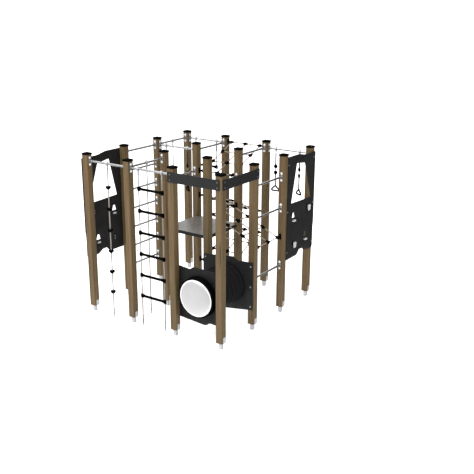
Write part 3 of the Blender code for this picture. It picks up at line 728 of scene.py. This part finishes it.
def heart(shape, x, y, height):
    """A dished foot step, clamped on the rope: a round dish on a pointed hub."""
    profile = [(0.0112, -0.0395), (0.014, -0.04), (0.018, -0.038), (0.03, -0.027)]
    profile += [(0.042, -0.015), (0.048, -0.005), (0.05, 0.004), (0.05, 0.012)]
    profile += [(0.0485, 0.018), (0.0445, 0.0215), (0.039, 0.0218), (0.032, 0.019)]
    profile += [(0.024, 0.0165), (0.0185, 0.0175), (0.0165, 0.0215), (0.0112, 0.0218)]
    turned(shape, place(x, y, height), Z, profile, 36)
    for way in (-1, 1):
        bolt(shape, place(x, y, height - 0.02) + Y * way * 0.0355, Y * way, 0.0045, 0.003, False)


def hanging_ropes(name, spots, along, low=ROPE_LOW, anchor_top=ANCHOR_TOP):
    """A bar and the ropes held between it and the ground."""
    bar(name, RAIL_R)
    fittings, anchors, ropes = new(), new(), new()
    for x, y in spots:
        clamp(fittings, place(x, y, RAIL_Z), along)
        socket(fittings, x, y)
        if low > ROPE_LOW:
            # A thin cable goes on from the rope's end to the ground.
            turned(anchors, place(x, y, ROPE_END), Z, [(0.0085, 0), (0.0085, low + 0.015)], 12)
        ground_anchor(anchors, x, y, anchor_top)
        laid_rope(ropes, place(x, y, low), place(x, y, ROPE_HIGH), ROPE_R)
    plural = "s" if len(spots) > 1 else ""
    piece(f"{name}_fittings", fittings, CAST)
    piece(f"{name}_anchor{plural}", anchors, TENSIONER)
    piece(f"{name}_rope{plural}", ropes, PALE_ROPE)


def stepped_rope(name, x):
    """A rope with six foot steps, which ends just below the lowest of them."""
    hanging_ropes(name, [(x, 0)], X, STEPPED_ROPE_LOW, CABLE_ANCHOR_TOP)
    steps = new()
    for height in HEART_STEPS:
        heart(steps, x, 0, height)
    piece(f"{name}_steps", steps, BLACK)


def flared_bar(shape, left, right):
    """A round bar whose ends flare up and down into barrels that clasp the ropes."""
    along = (right - left).normalized()
    across = Z.cross(along)
    length = (right - left).length
    wide, barrel = 0.023, 0.043
    end = [(-0.0225, 0.013, barrel - 0.006), (-0.021, 0.019, barrel - 0.002), (-0.014, wide, barrel)]
    end += [(0.014, wide, barrel), (0.022, wide, barrel - 0.004), (0.032, wide, 0.033)]
    end += [(0.048, wide, 0.0265), (0.07, wide, 0.023)]
    sections = end + [(length - far, half_wide, half_high) for far, half_wide, half_high in end[::-1]]
    loft(shape, left, along, across, Z, sections, 24, 2.4)
    for end_point in (left, right):
        bolt(shape, end_point - across * 0.0223, -across, 0.006, 0.003, False)


def rope_ladder(name, x):
    """Two ropes and the rungs between them."""
    sides = (x - LADDER_HALF, x + LADDER_HALF)
    hanging_ropes(name, [(side, 0) for side in sides], X)
    rungs = new()
    for height in LADDER_STEPS:
        flared_bar(rungs, *(place(side, 0, height) for side in sides))
    piece(f"{name}_rungs", rungs, BLACK)


# ---- what swings


def yoke(shape, x, y, low):
    """The eye under a clamp and the swivel sleeve below it."""
    high = RAIL_Z - 0.0356
    top, length = place(x, y, high), high - low
    eye = [(0.009, 0), (0.0135, 0.002), (0.014, 0.01), (0.012, 0.018), (0.0085, 0.026), (0.0085, 0.034)]
    shackle = [(0.006, 0.03), (0.0095, 0.034), (0.01, 0.048), (0.0085, 0.054)]
    sleeve = [(0.009, 0.05), (0.0122, 0.054), (0.0125, 0.06), (0.0125, length - 0.006)]
    sleeve += [(0.012, length - 0.001), (0.01, length)]
    for profile in (eye, shackle, sleeve):
        turned(shape, top, -Z, profile)


def drop(shape, x, y, height, way, across):
    """A flat drop threaded on the rope, its point up where way is 1 and down where it is -1."""
    depth = Z.cross(across)
    sections = [(-0.038, 0.015, 0.012), (-0.0365, 0.023, 0.015), (-0.029, 0.036, 0.0168)]
    sections += [(-0.016, 0.043, 0.017), (-0.003, 0.044, 0.017), (0.008, 0.0405, 0.017)]
    sections += [(0.02, 0.031, 0.0168), (0.033, 0.0205, 0.016), (0.044, 0.015, 0.014)]
    sections += [(0.0465, 0.0115, 0.0115)]
    loft(shape, place(x, y, height), Z * way, across, depth * way, sections, 24)
    bolt(shape, place(x, y, height) - depth * 0.0168, -depth, 0.006, 0.0028, False)


def handle_ring(x, y, across):
    """The three-sided handle's centre line, its corners rounded."""
    corners = [(0.0, HANDLE_TOP, 0.018)]
    corners += [(side, HANDLE_LOW, 0.022) for side in (HANDLE_HALF, -HANDLE_HALF)]
    points = []
    for i, (side, height, radius) in enumerate(corners):
        here = Vector((side, height))
        before = (Vector(corners[i - 1][:2]) - here).normalized()
        after = (Vector(corners[(i + 1) % 3][:2]) - here).normalized()
        half_angle = before.angle(after) / 2
        centre = here + (before + after).normalized() * radius / math.sin(half_angle)
        start = here + before * radius / math.tan(half_angle) - centre
        end = here + after * radius / math.tan(half_angle) - centre
        sweep = -start.angle_signed(end)
        for step in range(9):
            points.append(centre + Matrix.Rotation(sweep * step / 8, 2) @ start)
    return [place(x, y, height) + across * side for side, height in points]


def grip(number, x, y, degrees):
    """A hanging grip: the yoke swings with the hanger's body, and the rest turns with the handle's."""
    hanger, handle = f"grip_hanger_{number}", f"grip_handle_{number}"
    swivel = low_high(hanger)[0].z
    across = Matrix.Rotation(math.radians(degrees), 3, "Z") @ X
    metal, sleeves, line, shape = new(), new(), new(), new()
    yoke(metal, x, y, swivel)

    top_sleeve = [(0.01, 0), (0.012, 0.001), (0.0125, 0.006), (0.0125, 0.054), (0.0118, 0.058)]
    top_sleeve += [(0.0112, 0.06)]
    turned(sleeves, place(x, y, swivel - 0.0008), -Z, top_sleeve)
    ferrule = [(0.0112, 0), (0.013, 0.001), (0.0135, 0.005), (0.0135, 0.106), (0.012, 0.11)]
    turned(sleeves, place(x, y, HANDLE_TOP + 0.105), -Z, ferrule)
    for high, length in GRIP_SLEEVES:
        sleeve = [(0.0108, 0), (0.0122, 0.001), (0.0122, length - 0.001), (0.0108, length)]
        turned(sleeves, place(x, y, high), -Z, sleeve)
    laid_rope(line, *(place(x, y, height) for height in GRIP_ROPE), GRIP_ROPE_R)

    for height, way in GRIP_DROPS:
        drop(shape, x, y, height, way, across)
    ring_tube(shape, handle_ring(x, y, across), HANDLE_R, 18)
    boss = [(0.01, 0), (HANDLE_R, 0.006), (0.017, 0.022), (0.0145, 0.03), (0.0125, 0.034)]
    turned(shape, place(x, y, HANDLE_TOP - 0.023), Z, boss)
    piece(f"{hanger}_yoke", metal, DARK_STEEL, hanger, [hanger])
    piece(f"{handle}_sleeves", sleeves, DARK_STEEL, handle)
    piece(f"{handle}_rope", line, PALE_ROPE, handle)
    piece(f"{handle}_ring", shape, BLACK, handle, [handle])


def trapeze(x, y):
    """A flared bar on two short ropes, which swing together."""
    fittings, ropes, shape = new(), new(), new()
    sides = (x - HANG, x + HANG)
    for side in sides:
        yoke(fittings, side, y, SWIVEL_Z)
        laid_rope(ropes, place(side, y, TRAPEZE_Z + 0.004), place(side, y, SWIVEL_Z + 0.01), GRIP_ROPE_R)
    flared_bar(shape, *(place(side, y, TRAPEZE_Z) for side in sides))
    piece("trapeze_fittings", fittings, DARK_STEEL, "trapeze")
    piece("trapeze_ropes", ropes, PALE_ROPE, "trapeze")
    piece("trapeze_handle", shape, BLACK, "trapeze", ["trapeze"])


# ---- boards


def arc(centre, radius, start, end, steps=8):
    """Points of an outline along an arc, its angles in degrees."""
    points = []
    for step in range(steps + 1):
        angle = math.radians(start + (end - start) * step / steps)
        points.append((centre[0] + radius * math.cos(angle), centre[1] + radius * math.sin(angle)))
    return points


def ease(start, end, steps=12):
    """A smooth step between two points of an outline."""
    points = []
    for step in range(steps + 1):
        t = step / steps
        lift = t * t * (3 - 2 * t)
        points.append((start[0] + (end[0] - start[0]) * t, start[1] + (end[1] - start[1]) * lift))
    return points


def rounded(corners, radius, steps=6):
    """An outline whose corners are rounded off."""
    points = []
    for i, corner in enumerate(corners):
        here = Vector(corner)
        before = Vector(corners[i - 1]) - here
        after = Vector(corners[(i + 1) % len(corners)]) - here
        reach = min(radius / math.tan(before.angle(after) / 2), before.length * 0.45, after.length * 0.45)
        first, last = here + before.normalized() * reach, here + after.normalized() * reach
        for step in range(steps + 1):
            t = step / steps
            mixed = first * (1 - t) ** 2 + here * 2 * t * (1 - t) + last * t**2
            points.append((mixed.x, mixed.y))
    return points


def beams():
    """The two slate boards round the front right corner, with their bolts."""
    front, side = place(3, 0, 0).y - FACE - GAP, place(3, 0, 0).x + FACE + GAP
    for name, facing, low, high, out, bolt_places in (
        ("beam_front", "Y", front - BOARD, front, -Y, (place(2.0, 0, 0), place(2.985, 0, 0))),
        ("beam_side", "X", side, side + BOARD, X, (place(3, 0.012, 0), place(3, 1.0, 0))),
    ):
        bottom, top = low_high(name)
        left, right = (bottom.x, top.x) if facing == "Y" else (bottom.y, top.y)
        corners = [(left, bottom.z), (right, bottom.z), (right, top.z), (left, top.z)]
        board(f"{name}_board", [rounded(corners, 0.006, 4)], low, high, facing, SLATE, 0.0015, [name])
        shape = new()
        for spot in bolt_places:
            for z in BEAM_BOLTS:
                seat = Vector((spot.x, low, z)) if facing == "Y" else Vector((high, spot.y, z))
                bolt(shape, seat, out, 0.0085, 0.0045)
        piece(f"{name}_bolts", shape, PLATE)


def climbing_outline():
    """The climbing board's edge, (across from its middle, height), its outer side at +."""
    inner, outer = -PANEL_INNER, PANEL_OUTER
    outline = [(inner, 1.055)]
    outline += ease((-0.14, 1.06), (-0.02, 1.148))
    outline += ease((0.05, 1.148), (0.2, 1.082))
    outline += arc((outer - 0.085, 1.122), 0.07, -90, 0)
    outline += [(outer - 0.015, 1.49), (outer, 1.6)]
    outline += arc((outer - 0.01, 2.995), 0.01, 0, 90, 4)
    outline += ease((0.14, 3.005), (-0.16, 3.05), 10)
    outline += [(inner, 3.05)]
    return outline


# A hold's sections: how far out, half the width, the top and the bottom.
# The first list is a black block behind the grip, wider and lower than it: painted shadow round the grip's
# sides and foot.
HOLD_SHADOW_BLOCK = [(-0.001, 0.048, 0.062, -0.06), (0.02, 0.048, 0.062, -0.06), (0.024, 0.045, 0.06, -0.057)]
HOLD_GRIP = [(0.022, 0.04, 0.064, -0.052), (0.028, 0.043, 0.067, -0.055), (0.043, 0.04, 0.066, -0.046)]
HOLD_GRIP += [(0.053, 0.034, 0.061, -0.036), (0.0565, 0.028, 0.055, -0.028)]


def climbing_hold(shape, spot, side, sections):
    """A wedge with a deep top edge, tapering down: the black block that is painted shadow round a hold, or
    the grip on that block.
    """
    rings = []
    for far, half, top, low in sections:
        corners = [(-half * 0.55, low), (half * 0.55, low), (half, top * 0.72), (half * 0.82, top)]
        corners += [(-half * 0.82, top), (-half, top * 0.72)]
        rings.append([spot + Vector((side * far, px, pz)) for px, pz in rounded(corners, 0.01, 3)])
    skin(shape, rings)


def climbing_board(name, side):
    """side is 1 for the board on the right and -1 for the one on the left, which is turned half round."""
    middle = place(0, 2 + PANEL_MIDDLE if side > 0 else 1 - PANEL_MIDDLE, 0).y
    face = place(3 if side > 0 else 0, 0, 0).x + side * (FACE + GAP)
    low, high = (face, face + PANEL) if side > 0 else (face - PANEL, face)
    outer, inner = (high, low) if side > 0 else (low, high)

    def laid(points):
        return [(middle + side * across, height) for across, height in points]

    loops = [laid(climbing_outline()), laid(rounded(PANEL_WINDOW, 0.012))]
    for across, height in STEP_HOLES:
        loops.append(laid(rounded([(across + step, height + lift) for step, lift in STEP_HOLE], 0.01)))
    board(f"{name}_board", loops, low, high, "X", CHARCOAL, 0.002, [name])

    out = X * side
    holds, shadow_blocks, bolts, nuts = new(), new(), new(), new()
    for across, height in HOLDS:
        spot = Vector((outer, middle + side * across, height))
        # Behind each grip goes a black block, painted shadow at its sides.
        climbing_hold(shadow_blocks, spot, side, HOLD_SHADOW_BLOCK)
        climbing_hold(holds, spot, side, HOLD_GRIP)
        bolt(bolts, spot + out * 0.056 + Z * 0.014, out, 0.009, 0.004)
        for lift in (-0.025, 0.025):
            bolt(nuts, Vector((inner, middle + side * across, height + lift)), -out, 0.0095, 0.006)
    for across, height in STEP_HOLES:
        centre = Vector(((outer + inner) / 2 + side * 0.0075, middle + side * across, height - 0.105))
        soft_box(holds, centre, (PANEL + 0.062, 0.08, 0.034), 0.009, 3)
    for across, height in PANEL_BOLTS:
        bolt(bolts, Vector((outer, middle + side * across, height)), out, 0.008, 0.0045)
    piece(f"{name}_holds", holds, HOLD)
    piece(f"{name}_hold_shadow_blocks", shadow_blocks, BLACK)
    piece(f"{name}_bolts", bolts, CAST)
    piece(f"{name}_nuts", nuts, CAST)


def notched_square(low, high, inset, notch):
    """A square with a square bite out of each corner, as (across, along) points."""
    middle, half = (low + high) / 2, (high - low) / 2
    x, y = half.x - inset, half.y - inset
    points = []
    for sx, sy in ((-1, -1), (1, -1), (1, 1), (-1, 1)):
        bite = [(x, y - notch), (x - notch, y - notch), (x - notch, y)]
        if sx != sy:
            bite.reverse()
        points += [(middle.x + sx * px, middle.y + sy * py) for px, py in bite]
    return points


def deck():
    """The deck's body and the walking surface laid into its top."""
    low, high = low_high("deck")
    notch = FACE + 0.002
    outline = notched_square(low, high, 0.0, notch)
    board("deck_body", [outline], low.z, high.z - 0.006, "Z", EDGE, 0.0015, ["deck"])
    surface = notched_square(low, high, 0.002, notch)
    board("deck_surface", [surface], high.z - 0.008, high.z, "Z", DECK, 0.0015)


# ---- tunnel


def tunnel_outline(side, near_low, near_high, far_high):
    """A tunnel board's edge, (across, height) from the tunnel's middle, with side -1 for the back board."""
    half = 0.55
    outline = [(-half, near_low), (0.06, 0.325)]
    outline += ease((0.12, 0.327), (0.23, 0.382), 10)
    outline += [(half, 0.368), (half, far_high)]
    outline += ease((-0.11, 1.364), (-0.23, 1.308), 10)
    outline += [(-half, near_high)]
    return [(place(TUNNEL_X, 0, 0).x + side * across, height) for across, height in outline]


def tunnel():
    """The two tunnel boards, the pipe between them and the window in front."""
    middle = place(TUNNEL_X, 0, TUNNEL_Z)
    bore = [(point.x, point.z) for point in circle(middle, X, Z, BORE, 64)]
    low, high = low_high("tunnel_front_board")
    outline = tunnel_outline(1, 0.375, 1.345, 1.34)
    # The front board has the darker copy of the laminate, as painted shade.
    board("tunnel_front", [outline, bore], low.y, high.y, "Y", SHADED, 0.002, ["tunnel_front_board"])
    high_y = low_high("tunnel_back_board")[1].y
    low_y = high_y - BOARD
    outline = tunnel_outline(-1, 0.412, 1.325, 1.29)
    board("tunnel_back", [outline, bore], low_y, high_y, "Y", CHARCOAL, 0.002, ["tunnel_back_board"])
    shape = new()
    for x in (2.0, 3.0):
        for z in TUNNEL_BOLTS:
            bolt(shape, Vector((place(x, 0, 0).x, low_y, z)), -Y, 0.0105, 0.0045)
    piece("tunnel_back_bolts", shape, CAST)
    corrugated_pipe()
    window()


def corrugated_pipe():
    """The crawl pipe: smooth inside, with round ribs outside, the last against the back board."""
    low, high = low_high("tunnel_tube")
    base = Vector((place(TUNNEL_X, 0, 0).x, low.y, TUNNEL_Z))
    length = high.y - low.y
    root, crest = 0.35, (high.x - low.x) / 2
    pitch = length / RIBS
    profile = [(BORE, 0.0), (root - 0.003, 0.0), (root, 0.003)]
    for rib in range(RIBS):
        foot = (rib + 0.38) * pitch
        width = 0.58 * pitch
        for step in range(13):
            t = step / 12
            rise = min(1.0, 1.35 * math.sin(math.pi * t) ** 0.7)
            if foot + width * t < length - 1e-4:
                profile.append((root + (crest - root) * rise, foot + width * t))
    profile += [(root, length - 0.0005), (root - 0.002, length), (BORE, length)]
    shape = new()
    hoop(shape, base, profile, 72)
    piece("tunnel_pipe", shape, PIPE, replaces=["tunnel_tube"], angle=50.0)


def window():
    """The black ring in front of the front board, and the opal dome with its rim."""
    low, high = low_high("window_ring")
    middle = Vector((place(TUNNEL_X, 0, 0).x, 0, TUNNEL_Z))
    outer = (high.x - low.x) / 2
    inner, front, back = 0.33, low.y, high.y
    profile = [(inner, back), (outer, back), (outer, back - 0.012), (outer - 0.004, back - 0.018)]
    profile += [(outer - 0.007, front + 0.006), (outer - 0.01, front + 0.001), (outer - 0.014, front)]
    shape = new()
    hoop(shape, middle, profile + [(inner, front)])
    piece("tunnel_ring", shape, BLACK, replaces=["window_ring"])

    low, high = low_high("window_dome")
    rim, flat, thick = (high.x - low.x) / 2, high.y, 0.005
    front, foot = flat - thick, rim - 0.024
    bulge = front - low.y
    profile = [(rim - 0.001, flat), (rim, flat - 0.001), (rim, front + 0.001), (rim - 0.001, front)]
    profile += [(foot + 0.004, front), (foot + 0.001, front - 0.002)]
    quarter = [math.pi / 2 * step / 14 for step in range(15)]
    for t in quarter:
        profile.append((max(foot * math.cos(t), 1e-4), front - 0.002 - (bulge - 0.002) * math.sin(t)))
    for t in quarter[::-1]:
        profile.append((max((foot - thick) * math.cos(t), 1e-4), flat - (bulge - 0.001) * math.sin(t)))
    shape = new()
    hoop(shape, middle, profile)
    bmesh.ops.remove_doubles(shape, verts=shape.verts, dist=0.0004)
    piece("tunnel_window", shape, OPAL, replaces=["window_dome"], angle=50.0)

    edge = rim - 0.0005
    profile = [(edge, front + 0.003), (edge, front - 0.002), (rim - 0.003, front - 0.0035)]
    profile += [(foot + 0.005, front - 0.0045), (foot + 0.001, front - 0.0035)]
    profile += [(foot + 0.0005, front + 0.001)]
    shape = new()
    hoop(shape, middle, profile)
    piece("tunnel_window_rim", shape, RIM)
    shape = new()
    for i in range(12):
        angle = math.tau * (i + 0.5) / 12
        spoke = X * math.cos(angle) + Z * math.sin(angle)
        bolt(shape, middle + Y * (front - 0.0038) + spoke * (rim - 0.011), -Y, 0.0045, 0.0025, False)
    piece("tunnel_window_screws", shape, CAST)


# ---- nets


def cross_fitting(shape, here, across, slope, arms):
    """A moulded cross or T in two halves: tapered arms that end in a collar, a round boss and its screw."""
    normal = across.cross(slope)
    for way, reach in zip((across, -across, slope, -slope), arms):
        side = normal.cross(way)
        half, end = 0.0215, 0.018 if reach == LONG_ARM else 0.019
        collar = end + 0.0015
        profile = [(0.0, half), (0.45, half * 0.96), (0.8, end), (0.84, collar), (0.97, collar)]
        profile += [(1.0, end - 0.001)]
        loft(shape, here, way, side, normal, [(reach * far, wide, wide) for far, wide in profile], 16, 2.6)
    for way in (-1, 1):
        profile = [(0.031, -0.002), (0.031, 0.0165), (0.029, 0.02), (0.025, 0.0215), (0.0, 0.0218)]
        turned(shape, here, normal * way, profile)
        bolt(shape, here + normal * way * 0.0213, normal * way, 0.0065, 0.003, False)


def post_bracket(shape, spot, way):
    """A black eye plate on a post face, and the shackle that holds the net's corner."""
    side = Z.cross(way)
    soft_box(shape, spot + way * 0.004, way * 0.008 + side * 0.05 + Z * 0.112, 0.003)
    for lift in (-0.036, 0.036):
        bolt(shape, spot + way * 0.008 + Z * lift, way, 0.0085, 0.005)
    eye = [(0.01, 0.006), (0.0155, 0.008), (0.0165, 0.018), (0.015, 0.03), (0.0115, 0.036)]
    turned(shape, spot, way, eye, 18)
    ring = []
    for i in range(16):
        angle = math.tau * i / 16
        ring.append(spot + way * (0.047 + 0.017 * math.cos(angle)) + Z * 0.012 * math.sin(angle))
    ring_tube(shape, ring, 0.0042, 10)
    turned(shape, spot, way, [(0.009, 0.056), (0.014, 0.06), (0.0145, 0.086), (0.012, 0.092)], 18)


def net(name, corner, across, down, high, low):
    """A sloping net. corner is the post where its high edge starts, across runs along that edge and down
    goes to its low edge."""
    corner = Vector((*corner, 0))
    spacing = (1 - 2 * NET_EDGE) / (NET_COLUMNS - 1)

    def knot(column, row):
        t = row / (NET_ROWS - 1)
        flat = corner + across * (NET_EDGE + spacing * column) + down * t
        return place(flat.x, flat.y, high + (low - high) * t)

    ropes, fittings, brackets = new(), new(), new()
    slope = (knot(0, 1) - knot(0, 0)).normalized()
    for column in range(NET_COLUMNS):
        laid_rope(ropes, knot(column, 0), knot(column, NET_ROWS - 1), NET_ROPE_R)
    for row in range(NET_ROWS):
        first, last = knot(0, row), knot(NET_COLUMNS - 1, row)
        if row in (0, NET_ROWS - 1):
            reach = NET_EDGE * PITCH - FACE - GAP
            for end, way in ((first, across), (last, -across)):
                post_bracket(brackets, end - way * reach, way)
            laid_rope(ropes, first - across * (reach - 0.085), last + across * (reach - 0.085), NET_ROPE_R)
        else:
            laid_rope(ropes, first, last, NET_ROPE_R)
    for column in range(NET_COLUMNS):
        for row in range(NET_ROWS):
            edge_row = row in (0, NET_ROWS - 1)
            along_row = (column < NET_COLUMNS - 1 or edge_row, column > 0 or edge_row)
            along_column = (row < NET_ROWS - 1, row > 0)
            arms = [LONG_ARM if goes_on else SHORT_ARM for goes_on in along_row + along_column]
            cross_fitting(fittings, knot(column, row), across, slope, arms)
    piece(f"{name}_ropes", ropes, ROPE, replaces=[name])
    piece(f"{name}_crosses", fittings, BLACK)
    piece(f"{name}_brackets", brackets, BLACK)


# ---- build


for letter in "abcd":
    for row in range(1, 5):
        post(f"post_{letter}{row}")
plain_bars()
hanging_bars()
hanging_ropes("climbing_rope_bar_b1_b2", [(1, 0.5)], Y)
hanging_ropes("climbing_rope_bar_a3_a4", [(0, 2.5)], Y)
stepped_rope("step_rope_bar_a1_b1", 0.5)
rope_ladder("rope_ladder_bar_b1_c1", 1.5)
grip(1, 2.5 - HANG, 3, 4.0)
grip(2, 2.5 + HANG, 3, -30.0)
grip(3, 0.5 - HANG, 2, 4.0)
grip(4, 0.5 + HANG, 2, -35.0)
trapeze(0.5, 3)
beams()
climbing_board("climbing_panel_right", 1)
climbing_board("climbing_panel_left", -1)
deck()
tunnel()
net("net_upper", (1, 3), X, -Y, 2.985, 2.56)
net("net_middle", (1, 2), X, Y, 2.06, 1.625)
net("net_lower", (1, 3), X, -Y, 1.16, 0.7)
net("net_side", (2, 1), Y, X, 2.000, 1.55)

# ---- floor and light


def add_to_stage(name, shape, colour, roughness, glow, unseen_by):
    """A glowing part of the studio, which some kinds of ray don't see."""
    finish = Finish(name, colour, roughness)
    finish.set("Emission Color", (1.0, 1.0, 1.0))
    finish.set("Emission Strength", glow)
    obj = add_object(name, shape, finish.material)
    for kind in unseen_by:
        setattr(obj, f"visible_{kind}", False)


def add_studio():
    """A pale floor, and a white wall round it that only the camera sees."""
    shape = new()
    bmesh.ops.create_grid(shape, x_segments=1, y_segments=1, size=90.0)
    add_to_stage("floor", shape, (0.93, 0.93, 0.93), 0.9, 0.62, ("glossy",))
    shape = new()
    bmesh.ops.create_cone(shape, cap_ends=False, segments=96, radius1=85.0, radius2=85.0, depth=120.0)
    others = ("diffuse", "glossy", "transmission", "volume_scatter", "shadow")
    add_to_stage("backdrop", shape, (1.0, 1.0, 1.0), 1.0, 1.0, others)


def add_key_light():
    """A wide sun from the front left."""
    direction = Vector((0.45, 0.75, -1.2))
    sun = bpy.data.lights.new("key", "SUN")
    sun.energy = 1.7
    sun.angle = math.radians(40)
    light = bpy.data.objects.new("key", sun)
    light.rotation_euler = direction.to_track_quat("-Z", "Y").to_euler()
    light.location = -direction.normalized() * 12
    bpy.context.scene.collection.objects.link(light)


def add_world():
    """Soft light all round, brightest from below and above."""
    world = bpy.data.worlds.new("studio")
    m = Nodes(world)
    x, y, z = m.split(m.coordinates["Generated"])
    below = [(0.0, 1.25), (0.15, 1.15), (0.28, 0.74), (0.4, 0.6)]
    above = [(0.5, 0.58), (0.68, 0.86), (0.88, 1.15)]
    stops = [(position, (tone, tone, tone)) for position, tone in below + above]
    light = m.ramp(m.spread(z, 0.0, 1.0, -1.0, 1.0), stops)
    # The studio's far right wall is dark, so that bars which run front to back keep their dark undersides.
    level = m.math("MULTIPLY", m.math("ABSOLUTE", z), -0.9)
    far_right = m.math("ADD", m.math("MULTIPLY", x, 0.6), m.math("ADD", y, level))
    dimmed = m.mix(1.0, light, m.spread(far_right, 1.0, 0.08, 0.4, 0.62), "MULTIPLY")
    m.fill(m.tree.nodes["Background"].inputs["Color"], dimmed)
    bpy.context.scene.world = world


add_studio()
add_world()
add_key_light()
bpy.context.scene.view_settings.view_transform = "Standard"
